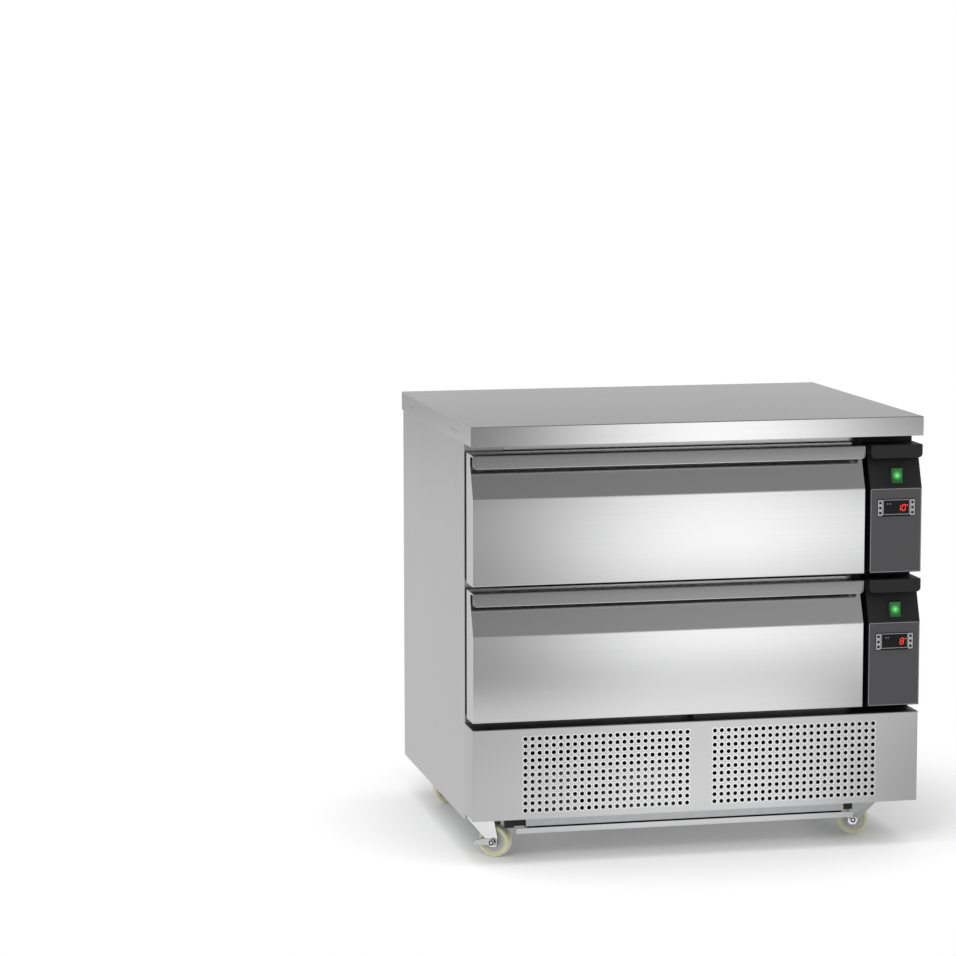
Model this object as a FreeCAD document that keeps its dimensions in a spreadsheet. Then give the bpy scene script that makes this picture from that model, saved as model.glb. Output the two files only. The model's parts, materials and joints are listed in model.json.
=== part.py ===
import FreeCAD, Part
import math
import os
import re

import Sketcher

# Refrigerated drawer counter on castors: a steel worktop over a foamed cabinet with two
# pull-out drawers, a control column at the right and a machine space behind a perforated
# base panel. Millimetres, X to the right, Y to the back, Z up, origin on the floor below
# the middle of the worktop.

# Driving sizes

SIZES = {
    # overall
    "unit_width": 900,
    "unit_depth": 700,
    "unit_height": 850,
    # worktop
    "worktop_thickness": 38,
    "worktop_sheet": 1.5,
    "worktop_return": 20,
    "worktop_edge_radius": 2,
    # cabinet shell
    "side_overhang": 3,
    "panel_sheet": 1.2,
    "frame_setback": 76,
    "side_bottom": 76,
    "left_stile": 75,
    "right_stile": 47,
    "rear_return": 20,
    "rear_inset": 15,
    "vent_slot_length": 140,
    "vent_slot_height": 6,
    "vent_pitch": 18,
    "vent_level": 40,
    "vent_rows": 5,
    "vent_columns": 2,
    # insulated compartments
    "right_wall": 142,
    "compartment_sill": 26,
    "compartment_height": 200,
    "compartment_depth": 564,
    "floor_thickness": 51,
    "liner_sheet": 1,
    "rail_depth": 10,
    "rail_sheet": 1.5,
    # base panel
    "base_bottom": 89,
    "base_height": 178,
    "base_sheet": 1.5,
    "hole_side": 6.2,
    "hole_pitch": 14,
    "hole_rows": 11,
    "hole_columns": 24,
    "grid_top": 20.5,
    "left_grid_inset": 103,
    "right_grid_inset": 92,
    # drawer fronts
    "reveal": 13,
    "top_reveal": 17,
    "drawer_side_gap": 1,
    "control_width": 115,
    "front_depth": 60,
    "face_height": 166.5,
    "slope_depth": 26,
    "slope_height": 64.5,
    "lip_sheet": 3,
    "lip_height": 26,
    "lip_radius": 8,
    "front_sheet": 1.2,
    "gasket_margin": 9,
    "gasket_width": 13,
    # runners
    "runner_length": 550,
    "runner_height": 45,
    "runner_width": 12.7,
    "runner_sheet": 1.5,
    "runner_clearance": 0.4,
    "runner_level": 120,
    "runner_start": 4,
    # drawer frames and tubs
    "frame_sheet": 1.5,
    "frame_height": 108,
    "tub_level": 200,
    "tub_width": 650,
    "tub_length": 530,
    "tub_depth": 150,
    "tub_sheet": 1.2,
    "tub_rim": 8,
    "tub_radius": 25,
    "tub_start": 70,
    # control column
    "fascia_width": 105,
    "fascia_inset": 1,
    "fascia_wall": 2.5,
    "fascia_setback": 2.5,
    "fascia_lip_setback": 0.5,
    "housing_wall": 2,
    "overlay_thickness": 0.8,
    "overlay_margin": 1.5,
    "controller_width": 77,
    "controller_height": 34,
    "controller_bezel": 1.5,
    "controller_rebate": 3,
    "controller_body": 48,
    "controller_level": 128,
    "switch_offset": 4,
    "switch_level": 190,
    "switch_width": 32,
    "switch_length": 41,
    "switch_bezel": 1.6,
    "switch_body": 22,
    "switch_wall": 2,
    "rocker_gap": 0.6,
    "rocker_end_gap": 1.6,
    "rocker_rise": 3,
    "rocker_dip": 0.8,
    "rocker_pivot": 4,
    "rocker_tilt": 8,
    # chassis, well and drip tray
    "chassis_sheet": 1.5,
    "chassis_upstand": 20,
    "well_middle": -12.5,
    "well_half_width": 321.5,
    "well_front": 40,
    "well_length": 560,
    "well_bottom": 66,
    "tray_drop": 3,
    "tray_front": 38,
    "tray_front_sheet": 3.5,
    "tray_face_half_width": 341.5,
    "tray_half_width": 306.5,
    "tray_length": 500,
    "tray_height": 11,
    "tray_sheet": 1.2,
    "tray_rim": 10,
    "guide_sheet": 1.3,
    "guide_gap": 0.5,
    "guide_foot": 6,
    "guide_setback": 2,
    "guide_shortfall": 20,
    # machine space
    "compressor_radius": 72,
    "compressor_height": 155,
    "compressor_x": 190,
    "compressor_y": 10,
    "foot_height": 12,
    "foot_radius": 9,
    "foot_spread": 62,
    "condenser_width": 310,
    "condenser_height": 72,
    "condenser_depth": 45,
    "condenser_x": -185,
    "condenser_setback": 20,
    "condenser_gap": 3,
    "condenser_fins": 9,
    "fin_thickness": 1.2,
    "fin_root": 3.6,
    "leg_sheet": 2,
    "fan_x": -185,
    "fan_level": 168,
    "fan_radius": 70,
    "fan_hub_radius": 20,
    "fan_hub_length": 18,
    "fan_gap": 18,
    "fan_blades": 5,
    "blade_thickness": 2,
    "blade_width": 34,
    "blade_pitch": 32,
    "motor_radius": 30,
    "motor_length": 46,
    "motor_gap": 2,
    "evaporator_width": 560,
    "evaporator_height": 130,
    "evaporator_depth": 26,
    "evaporator_fins": 7,
    "gland_radius": 12,
    "gland_length": 14,
    "gland_inset": 60,
    "gland_level": 70,
    "knob_radius": 6,
    "knob_height": 8,
    "knob_setback": 55,
    "screw_radius": 3.5,
    "screw_head": 2,
    "screw_setback": 32,
    "screw_level_low": 66,
    "screw_level_high": 86,
    # castors
    "castor_height": 89,
    "castor_inset_left": 41,
    "castor_inset_right": 68.5,
    "castor_front_left": 97,
    "castor_front_right": 112,
    "castor_rear": 140,
    "castor_trail": 25,
    "plate_side": 62,
    "plate_thickness": 3,
    "plate_bolt_spacing": 48,
    "bolt_flats": 8,
    "bolt_head": 4,
    "raceway_radius": 19,
    "crown_radius": 27,
    "crown_top": 80,
    "crown_thickness": 3,
    "castor_clearance": 0.3,
    "shaft_clearance": 0.08,
    "wheel_radius": 31,
    "wheel_width": 24,
    "fork_gap": 1.5,
    "fork_sheet": 2.5,
    "fork_eye": 10,
    "axle_radius": 4,
    "axle_flats": 13,
    "axle_head": 4.5,
    "pedal_sheet": 2.5,
    "pedal_length": 30,
    "pedal_foot": 9,
    "pedal_foot_length": 11,
    "pedal_droop": 2,
    "pedal_half_height": 6,
    # turn of each castor about its swivel, in degrees: where its wheel trails, from +X
    "turn_front_left": -33,
    "turn_front_right": 166,
    "turn_rear_left": 8,
    "turn_rear_right": 172,
}

CORNERS = ("front_left", "front_right", "rear_left", "rear_right")
LEVELS = ("lower", "upper")
HEXAGON = 6
PLAIN_ROUND = 12

# Places worked out from the driving sizes

DERIVED = {
    "front": "-unit_depth / 2",
    "back": "unit_depth / 2",
    "side": "unit_width / 2 - side_overhang",
    "top": "unit_height - worktop_thickness",
    "frame_front": "front + frame_setback",
    "base_top": "base_bottom + base_height",
    "drawer_height": "(top - base_top - 2 * reveal - top_reveal) / 2",
    "drawer_left": "-side + drawer_side_gap",
    "drawer_right": "side - control_width",
    "lower_drawer": "base_top + reveal",
    "upper_drawer": "lower_drawer + drawer_height + reveal",
    "slope_top": "face_height + slope_height",
    "inside_left": "-side + left_stile",
    "inside_right": "side - right_wall",
    "inside_back": "frame_front + compartment_depth",
    "inside_middle": "(inside_left + inside_right) / 2",
    "lower_floor": "lower_drawer + compartment_sill",
    "upper_floor": "upper_drawer + compartment_sill",
    "cabinet_bottom": "lower_floor - floor_thickness",
    "rear_face": "back - rear_inset",
    "frame_right": "side - right_stile",
    "front_back": "front + front_depth",
    "fascia_right": "unit_width / 2 - fascia_inset",
    "fascia_left": "fascia_right - fascia_width",
    "fascia_middle": "(fascia_left + fascia_right) / 2",
    "runner_front": "frame_front + runner_start",
    "well_floor": "well_bottom + chassis_sheet",
    "tray_top": "well_bottom - tray_drop",
    "axle_level": "wheel_radius",
    "fork_inside": "wheel_width / 2 + fork_gap",
    "fork_outside": "fork_inside + fork_sheet",
    "crown_bottom": "crown_top - crown_thickness",
}

document = FreeCAD.newDocument("DrawerCounter")
sheet = document.addObject("Spreadsheet::Sheet", "Sizes")
for row, (alias, value) in enumerate(SIZES.items(), start=1):
    sheet.set(f"A{row}", alias)
    sheet.set(f"B{row}", str(value))
    sheet.setAlias(f"B{row}", alias)
document.recompute()

subparts = []


def formula(text):
    """The expression for a formula: a derived place by its own formula, a size by its cell."""

    def name(match):
        word = match.group(0)
        if word in DERIVED:
            return "(" + formula(DERIVED[word]) + ")"
        if word in SIZES:
            return "Sizes." + word
        return word

    return re.sub(r"[a-z][a-z_]+", name, str(text))


def number(text):
    """The present value of a formula, as a plain number."""
    return float(sheet.evalExpression(formula(text)))


def bind(piece, field, text):
    """Ties one property of a piece to the formula of its size or place."""
    piece.setExpression(field, formula(text))


def place(piece, x=0, y=0, z=0):
    """Ties a piece's place to three formulas."""
    for axis, text in zip("xyz", (x, y, z)):
        bind(piece, "Placement.Base." + axis, text)


def subpart(piece):
    """Keeps a finished piece as one of the sub-parts, under its label."""
    piece.Label = piece.Name
    subparts.append(piece)
    return piece


def box(name, x, y, z):
    """A block between two formulas along each axis."""
    piece = document.addObject("Part::Box", name)
    for field, (low, high) in zip(("Length", "Width", "Height"), (x, y, z)):
        bind(piece, field, f"({high}) - ({low})")
    place(piece, x[0], y[0], z[0])
    return piece


def cylinder(name, radius, length, x, y, z, axis=(0, 0, 1)):
    """A round bar from a point along an axis."""
    piece = document.addObject("Part::Cylinder", name)
    bind(piece, "Radius", radius)
    bind(piece, "Height", length)
    turn = FreeCAD.Rotation(FreeCAD.Vector(0, 0, 1), FreeCAD.Vector(*axis))
    piece.Placement = FreeCAD.Placement(FreeCAD.Vector(), turn)
    place(piece, x, y, z)
    return piece


def fuse(name, pieces):
    """Joins pieces into one solid."""
    joined = document.addObject("Part::MultiFuse", name)
    joined.Shapes = pieces
    joined.Refine = True
    return joined


def cut(name, base, tools):
    """Takes one or more pieces away from a base."""
    tool = tools[0] if len(tools) == 1 else fuse(name + "_tools", tools)
    left = document.addObject("Part::Cut", name)
    left.Base = base
    left.Tool = tool
    left.Refine = True
    return left


def group(name, pieces):
    """Keeps separate solids together as one sub-part."""
    held = document.addObject("Part::Compound", name)
    held.Links = pieces
    return held


def new_body(name):
    """An empty body for sketched features."""
    return document.addObject("PartDesign::Body", name)


def sketch_on(body, name, plane):
    """An empty sketch on one of the body's own origin planes."""
    sketch = body.newObject("Sketcher::SketchObject", name)
    support = next(f for f in body.Origin.OriginFeatures if f.Role == plane)
    sketch.AttachmentSupport = [(support, "")]
    sketch.MapMode = "FlatFace"
    return sketch


def draw_outline(sketch, points):
    """A closed outline of straight runs, each corner held by its two formulas."""
    corners = [FreeCAD.Vector(number(u), number(v), 0) for u, v in points]
    first = sketch.GeometryCount
    for start, end in zip(corners, corners[1:] + corners[:1]):
        sketch.addGeometry(Part.LineSegment(start, end), False)
    count = len(points)
    for index in range(count):
        following = first + (index + 1) % count
        sketch.addConstraint(Sketcher.Constraint("Coincident", first + index, 2, following, 1))
    for index, (corner, pair) in enumerate(zip(corners, points)):
        for kind, value, text in zip(("DistanceX", "DistanceY"), corner, pair):
            rule = Sketcher.Constraint(kind, -1, 1, first + index, 1, value)
            place_of_rule = sketch.addConstraint(rule)
            sketch.setExpression(f"Constraints[{place_of_rule}]", formula(text))


def pad(body, name, sketch, length, both_ways=False, reverse=False):
    """Raises a sketch to a length."""
    raised = body.newObject("PartDesign::Pad", name)
    raised.Profile = sketch
    bind(raised, "Length", length)
    raised.Midplane = both_ways
    raised.Reversed = reverse
    document.recompute()
    return raised


def pocket(body, name, sketch, length, both_ways=False, reverse=False):
    """Sinks a sketch to a length and makes sure that something was taken away."""
    before = body.Shape.Volume
    sunk = body.newObject("PartDesign::Pocket", name)
    sunk.Profile = sketch
    bind(sunk, "Length", length)
    sunk.Midplane = both_ways
    sunk.Reversed = reverse
    document.recompute()
    if body.Shape.Volume > before - 1:
        raise RuntimeError(name + " takes nothing away")
    return sunk


def profile_body(name, plane, points, length, x=0, y=0, z=0, reverse=False):
    """A body with one outline raised to a length and set in its place."""
    body = new_body(name)
    sketch = sketch_on(body, name + "_outline", plane)
    draw_outline(sketch, points)
    pad(body, name + "_pad", sketch, length, reverse=reverse)
    place(body, x, y, z)
    document.recompute()
    return body


def edges_where(shape, wanted):
    """The names of a shape's edges that pass a test."""
    return [f"Edge{i}" for i, edge in enumerate(shape.Edges, start=1) if wanted(edge)]


def along(edge, axis):
    """Whether a straight edge runs along an axis, 0 for X, 1 for Y and 2 for Z."""
    if edge.Curve.TypeId != "Part::GeomLine":
        return False
    return abs(abs(edge.Curve.Direction[axis]) - 1) < 1e-6


def part_fillet(name, base, edge_names, radius):
    """Rounds edges of a piece that isn't in a body."""
    rounded = document.addObject("Part::Fillet", name)
    rounded.Base = base
    value = number(radius)
    rounded.Edges = [(int(edge[4:]), value, value) for edge in edge_names]
    return rounded


# Worktop: a folded sheet with a skirt all round and a narrow return, over a rigid board


def make_worktop():
    blank = box(
        "worktop_blank",
        ("-unit_width / 2", "unit_width / 2"),
        ("front", "back"),
        ("top", "unit_height"),
    )
    document.recompute()
    upper = edges_where(blank.Shape, lambda e: not along(e, 2) and e.BoundBox.ZMin > number("top"))
    rounded = part_fillet("worktop_rounded", blank, upper, "worktop_edge_radius")
    hollow = box(
        "worktop_hollow",
        ("-unit_width / 2 + worktop_sheet", "unit_width / 2 - worktop_sheet"),
        ("front + worktop_sheet", "back - worktop_sheet"),
        ("top + worktop_sheet", "unit_height - worktop_sheet"),
    )
    mouth = box(
        "worktop_mouth",
        ("-unit_width / 2 + worktop_return", "unit_width / 2 - worktop_return"),
        ("front + worktop_return", "back - worktop_return"),
        ("top - worktop_sheet", "top + 2 * worktop_sheet"),
    )
    subpart(cut("worktop", rounded, [hollow, mouth]))
    core = box(
        "worktop_core",
        ("-unit_width / 2 + worktop_sheet", "unit_width / 2 - worktop_sheet"),
        ("front + worktop_sheet", "back - worktop_sheet"),
        ("top + worktop_sheet", "unit_height - worktop_sheet"),
    )
    subpart(core)


# Cabinet shell: folded side panels, rear panel with vents, front rails and stile


def make_side_panel(name, sign, stile):
    outer = f"{sign} * side"
    inner = f"{sign} * (side - panel_sheet)"
    flange = f"{sign} * (side - {stile})"
    lip = f"{sign} * (side - rear_return)"
    outline = [
        (outer, "frame_front"),
        (flange, "frame_front"),
        (flange, "frame_front + panel_sheet"),
        (inner, "frame_front + panel_sheet"),
        (inner, "back - panel_sheet"),
        (lip, "back - panel_sheet"),
        (lip, "back"),
        (outer, "back"),
    ]
    folded = profile_body(
        name + "_folded", "XY_Plane", outline, "top - side_bottom", z="side_bottom"
    )
    low, high = (flange, inner) if sign > 0 else (inner, flange)
    notch = box(
        name + "_notch",
        (low, high),
        ("frame_front - panel_sheet", "frame_front + 2 * panel_sheet"),
        ("side_bottom - panel_sheet", "base_bottom + chassis_sheet"),
    )
    subpart(cut(name, folded, [notch]))


def make_rear_panel():
    blank = box(
        "rear_blank",
        ("-side + panel_sheet", "side - panel_sheet"),
        ("rear_face - panel_sheet", "rear_face"),
        ("base_bottom + chassis_sheet", "top"),
    )
    slots = []
    for column in range(int(number("vent_columns"))):
        for row in range(int(number("vent_rows"))):
            left = f"(vent_slot_length + vent_pitch) * ({column} - vent_columns / 2)"
            low = f"base_bottom + vent_level + vent_pitch * {row}"
            slots.append(
                box(
                    f"rear_vent_{column}_{row}",
                    (left, f"{left} + vent_slot_length"),
                    ("rear_face - 2 * panel_sheet", "rear_face + panel_sheet"),
                    (low, f"{low} + vent_slot_height"),
                )
            )
    subpart(cut("rear_panel", blank, slots))


def make_rail(name, x, z):
    """A shallow channel, closed at the front and open to the foam behind it."""
    blank = box(name + "_blank", x, ("frame_front", "frame_front + rail_depth"), z)
    hollow = box(
        name + "_hollow",
        (f"{x[0]} + rail_sheet", f"{x[1]} - rail_sheet"),
        ("frame_front + rail_sheet", "frame_front + 2 * rail_depth"),
        (f"{z[0]} + rail_sheet", f"{z[1]} - rail_sheet"),
    )
    return cut(name, blank, [hollow])


def make_front_frame():
    across = ("inside_left", "frame_right")
    beside = ("inside_right", "frame_right")
    upper_roof = "upper_floor + compartment_height"
    lower_roof = "lower_floor + compartment_height"
    members = [
        make_rail("rail_top", across, (upper_roof, "top")),
        make_rail("rail_middle", across, (lower_roof, "upper_floor")),
        make_rail("rail_bottom", across, ("cabinet_bottom", "lower_floor")),
        make_rail("stile_upper", beside, ("upper_floor", upper_roof)),
        make_rail("stile_lower", beside, ("lower_floor", lower_roof)),
    ]
    subpart(group("front_frame", members))


# Insulated cabinet: a sheet liner for each compartment and foam boards round them


def make_liner(name, floor):
    outer = box(
        name + "_outer",
        ("inside_left", "inside_right"),
        ("frame_front", "inside_back"),
        (floor, f"{floor} + compartment_height"),
    )
    inner = box(
        name + "_inner",
        ("inside_left + liner_sheet", "inside_right - liner_sheet"),
        ("frame_front - liner_sheet", "inside_back - liner_sheet"),
        (f"{floor} + liner_sheet", f"{floor} + compartment_height - liner_sheet"),
    )
    subpart(cut(name, outer, [inner]))


def make_insulation():
    behind_rails = "frame_front + rail_depth"
    upper_roof = "upper_floor + compartment_height"
    lower_roof = "lower_floor + compartment_height"
    rear = "rear_face - panel_sheet"
    inside = ("inside_left", "inside_right")
    boards = [
        box(
            "foam_left",
            ("-side + panel_sheet", "inside_left"),
            ("frame_front + panel_sheet", rear),
            ("cabinet_bottom", "top"),
        ),
        box(
            "foam_right",
            ("inside_right", "side - panel_sheet"),
            (behind_rails, rear),
            ("cabinet_bottom", "top"),
        ),
        box("foam_back", inside, ("inside_back", rear), ("cabinet_bottom", "top")),
        box("foam_top", inside, (behind_rails, "inside_back"), (upper_roof, "top")),
        box("foam_middle", inside, (behind_rails, "inside_back"), (lower_roof, "upper_floor")),
        box(
            "foam_floor",
            inside,
            (behind_rails, "inside_back"),
            ("cabinet_bottom", "lower_floor"),
        ),
    ]
    subpart(group("insulation", boards))


def finned_block(name, x, y, z, fins, thickness):
    """Upright fins on a back plate, as one comb drawn from above."""
    left, right = x
    near, far = y
    points = [(left, far), (left, near)]
    step = f"(({right}) - ({left}) - {thickness}) / ({fins} - 1)"
    root = f"({far}) - fin_root"
    for index in range(int(number(fins))):
        start = f"{left} + {index} * {step}"
        if index:
            points += [(start, root), (start, near)]
        points += [(f"{start} + {thickness}", near)]
        if index < number(fins) - 1:
            points += [(f"{start} + {thickness}", root)]
    points += [(right, far)]
    return profile_body(name, "XY_Plane", points, f"({z[1]}) - ({z[0]})", z=z[0])


def make_evaporators():
    blocks = []
    for level in LEVELS:
        floor = f"{level}_floor"
        blocks.append(
            finned_block(
                "evaporator_" + level,
                ("inside_middle - evaporator_width / 2", "inside_middle + evaporator_width / 2"),
                (
                    "inside_back - liner_sheet - evaporator_depth",
                    "inside_back - liner_sheet",
                ),
                (
                    f"{floor} + (compartment_height - evaporator_height) / 2",
                    f"{floor} + (compartment_height + evaporator_height) / 2",
                ),
                "evaporator_fins",
                "fin_thickness",
            )
        )
    subpart(group("evaporators", blocks))


# Drawers: pressed fronts with a grip lip, foam-filled inner panels, seals, frames and tubs


def front_outline(face, lip, height):
    """The section of a front: flat face, slope back under the lip, and the lip itself."""
    return [
        (f"front + {face}", "0"),
        (f"front + {face}", "face_height"),
        ("front + slope_depth", "slope_top"),
        ("front + slope_depth", f"{height} - lip_sheet"),
        (f"front + {lip} + lip_sheet", f"{height} - lip_sheet"),
        (f"front + {lip} + lip_sheet", f"{height} - lip_height"),
        (f"front + {lip}", f"{height} - lip_height"),
        (f"front + {lip}", height),
        ("front_back", height),
        ("front_back", "0"),
    ]


def hollow_outline(face, wall, height):
    """The section of the room inside a front, open at the back."""
    return [
        (f"front + {face} + {wall}", wall),
        (f"front + {face} + {wall}", "face_height"),
        (f"front + slope_depth + {wall}", "slope_top"),
        (f"front + slope_depth + {wall}", f"{height} - {wall}"),
        ("front_back", f"{height} - {wall}"),
        ("front_back", wall),
    ]


def round_lip(body, ends, bottom):
    """Rounds the two lower corners of a grip lip, seen from the front."""
    feature = body.Tip

    def corner(edge):
        box_of_edge = edge.BoundBox
        at_end = min(abs(box_of_edge.XMin - end) for end in ends) < 1e-3
        return along(edge, 1) and at_end and abs(box_of_edge.ZMin - bottom) < 1e-3

    names = edges_where(feature.Shape, corner)
    rounded = body.newObject("PartDesign::Fillet", body.Name + "_lip_corners")
    rounded.Base = (feature, names)
    bind(rounded, "Radius", "lip_radius")
    body.Tip = rounded
    document.recompute()


def make_drawer(level):
    bottom = f"{level}_drawer"
    width = "drawer_right - drawer_left"
    outer = profile_body(
        f"drawer_front_{level}_outer",
        "YZ_Plane",
        front_outline("0", "0", "drawer_height"),
        width,
        x="drawer_left",
        z=bottom,
    )
    round_lip(outer, (0, number(width)), number("drawer_height - lip_height"))
    inner = profile_body(
        f"drawer_front_{level}_inner",
        "YZ_Plane",
        hollow_outline("0", "front_sheet", "drawer_height"),
        f"{width} - 2 * front_sheet",
        x="drawer_left + front_sheet",
        z=bottom,
    )
    subpart(cut(f"drawer_front_{level}", outer, [inner]))
    subpart(
        profile_body(
            f"drawer_panel_{level}",
            "YZ_Plane",
            hollow_outline("0", "front_sheet", "drawer_height"),
            f"{width} - 2 * front_sheet",
            x="drawer_left + front_sheet",
            z=bottom,
        )
    )
    make_gasket(level, bottom)
    make_drawer_frame(level, bottom)
    make_tub(level, bottom)


def make_gasket(level, bottom):
    """A four-sided seal between the drawer front and the front rails."""
    depth = ("front_back", "frame_front")
    outer = box(
        f"gasket_{level}_outer",
        ("drawer_left + gasket_margin", "drawer_right - gasket_margin"),
        depth,
        (f"{bottom} + gasket_margin", f"{bottom} + drawer_height - gasket_margin"),
    )
    inner = box(
        f"gasket_{level}_inner",
        (
            "drawer_left + gasket_margin + gasket_width",
            "drawer_right - gasket_margin - gasket_width",
        ),
        ("front_back - gasket_width", "frame_front + gasket_width"),
        (
            f"{bottom} + gasket_margin + gasket_width",
            f"{bottom} + drawer_height - gasket_margin - gasket_width",
        ),
    )
    subpart(cut(f"gasket_{level}", outer, [inner]))


def make_drawer_frame(level, bottom):
    """Two side members and a back member with ledges that carry the tub's rim."""
    ledge = f"{bottom} + tub_level"
    low = f"{ledge} - frame_height"
    rear = "front + tub_start + tub_length + frame_sheet"
    left_web = "inside_left + liner_sheet + runner_width"
    right_web = "inside_right - liner_sheet - runner_width"
    tub_half = "(tub_width / 2 - tub_rim + frame_sheet)"
    members = [
        box(
            f"frame_left_{level}",
            (left_web, f"{left_web} + frame_sheet"),
            ("front_back", rear),
            (low, ledge),
        ),
        box(
            f"frame_right_{level}",
            (f"{right_web} - frame_sheet", right_web),
            ("front_back", rear),
            (low, ledge),
        ),
        box(
            f"frame_rear_{level}",
            (left_web, right_web),
            (f"{rear} - frame_sheet", rear),
            (low, ledge),
        ),
        box(
            f"ledge_left_{level}",
            (left_web, f"inside_middle - {tub_half}"),
            ("front_back", rear),
            (f"{ledge} - frame_sheet", ledge),
        ),
        box(
            f"ledge_right_{level}",
            (f"inside_middle + {tub_half}", right_web),
            ("front_back", rear),
            (f"{ledge} - frame_sheet", ledge),
        ),
    ]
    subpart(fuse(f"drawer_frame_{level}", members))


def tub_block(name, side, near, far, z, radius):
    """A block with rounded upright corners, as wide to the left as to the right."""
    blank = box(
        name + "_blank",
        (f"inside_middle - ({side})", f"inside_middle + ({side})"),
        (near, far),
        z,
    )
    document.recompute()
    upright = edges_where(blank.Shape, lambda e: along(e, 2))
    return part_fillet(name, blank, upright, radius)


def make_tub(level, bottom):
    """A deep tray with rounded corners and a flat rim that hangs on the frame's ledges."""
    name = f"drawer_tub_{level}"
    rim = f"{bottom} + tub_level"
    near = "front + tub_start"
    far = "front + tub_start + tub_length"
    side = "tub_width / 2"
    wall = "tub_rim + tub_sheet"
    plate = tub_block(name + "_rim", side, near, far, (rim, f"{rim} + tub_sheet"), "tub_radius")
    pan = tub_block(
        name + "_pan",
        f"{side} - tub_rim",
        f"{near} + tub_rim",
        f"{far} - tub_rim",
        (f"{rim} + tub_sheet - tub_depth", rim),
        "tub_radius - tub_sheet",
    )
    room = tub_block(
        name + "_room",
        f"{side} - {wall}",
        f"{near} + {wall}",
        f"{far} - {wall}",
        (f"{rim} + 2 * tub_sheet - tub_depth", f"{rim} + 2 * tub_sheet"),
        "tub_radius - 2 * tub_sheet",
    )
    subpart(cut(name, fuse(name + "_solid", [plate, pan]), [room]))


# Runners: three channels inside one another on each side of each drawer


def channel_outline(wall, sign, near, far, half, web_near):
    """A channel section: a web and two flanges, open towards the other end of its depth."""
    low = f"-({half})"
    inner_low = f"-({half}) + runner_sheet"
    inner_high = f"{half} - runner_sheet"
    web, open_end = (near, far) if web_near else (far, near)
    step = "runner_sheet" if web_near else "-runner_sheet"

    def place_across(offset):
        return f"{wall} + {sign} * ({offset})"

    return [
        (place_across(web), low),
        (place_across(open_end), low),
        (place_across(open_end), inner_low),
        (place_across(f"{web} + {step}"), inner_low),
        (place_across(f"{web} + {step}"), inner_high),
        (place_across(open_end), inner_high),
        (place_across(open_end), half),
        (place_across(web), half),
    ]


def make_runners(level):
    gap = "runner_clearance"
    step = f"(runner_sheet + {gap})"
    members = {
        "runner_fixed": ("0", "runner_width - runner_sheet", "runner_height / 2", True),
        "runner_middle": (step, f"runner_width - {step}", f"runner_height / 2 - {step}", True),
        "runner_drawer": (f"2 * {step}", "runner_width", f"runner_height / 2 - 2 * {step}", False),
    }
    walls = {"left": ("inside_left + liner_sheet", 1), "right": ("inside_right - liner_sheet", -1)}
    for member, (near, far, half, web_near) in members.items():
        pair = []
        for hand, (wall, sign) in walls.items():
            outline = channel_outline(wall, sign, near, far, half, web_near)
            pair.append(
                profile_body(
                    f"{member}_{hand}_{level}",
                    "XZ_Plane",
                    outline,
                    "runner_length",
                    y="runner_front",
                    z=f"{level}_drawer + runner_level",
                    reverse=True,
                )
            )
        subpart(group(f"{member}_{level}", pair))


# Control column: a black housing, one fascia for each drawer, and what is set into it


def make_control_housing():
    """A deep pan behind the fascias, on the front frame and the right side panel."""
    z = ("base_top + drawer_side_gap", "top - drawer_side_gap")
    blank = box(
        "housing_blank",
        ("drawer_right + 2 * drawer_side_gap", "side"),
        ("front_back", "frame_front"),
        z,
    )
    room = box(
        "housing_room",
        (
            "drawer_right + 2 * drawer_side_gap + housing_wall",
            "side - housing_wall",
        ),
        ("front_back + housing_wall", "frame_front + housing_wall"),
        (f"{z[0]} + housing_wall", f"{z[1]} - housing_wall"),
    )
    subpart(cut("control_housing", blank, [room]))


def slope_frame(level):
    """The place of the switch on a fascia's slope: X across, Y into the panel, Z up the slope."""
    run = number("slope_depth - fascia_setback")
    rise = number("slope_height")
    share = number("(switch_level - face_height) / slope_height")
    centre = FreeCAD.Vector(
        number("fascia_middle + switch_offset"),
        number("front + fascia_setback") + run * share,
        number(f"{level}_drawer + switch_level"),
    )
    turn = FreeCAD.Rotation(FreeCAD.Vector(1, 0, 0), -math.degrees(math.atan2(run, rise)))
    return FreeCAD.Placement(centre, turn)


def slope_block(name, level, half_width, depth, half_length):
    """A block on the slope, between two depths into the panel."""
    piece = document.addObject("Part::Box", name)
    bind(piece, "Length", f"2 * ({half_width})")
    bind(piece, "Width", f"({depth[1]}) - ({depth[0]})")
    bind(piece, "Height", f"2 * ({half_length})")
    corner = FreeCAD.Vector(-number(half_width), number(depth[0]), -number(half_length))
    piece.Placement = slope_frame(level) * FreeCAD.Placement(corner, FreeCAD.Rotation())
    return piece


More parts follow.
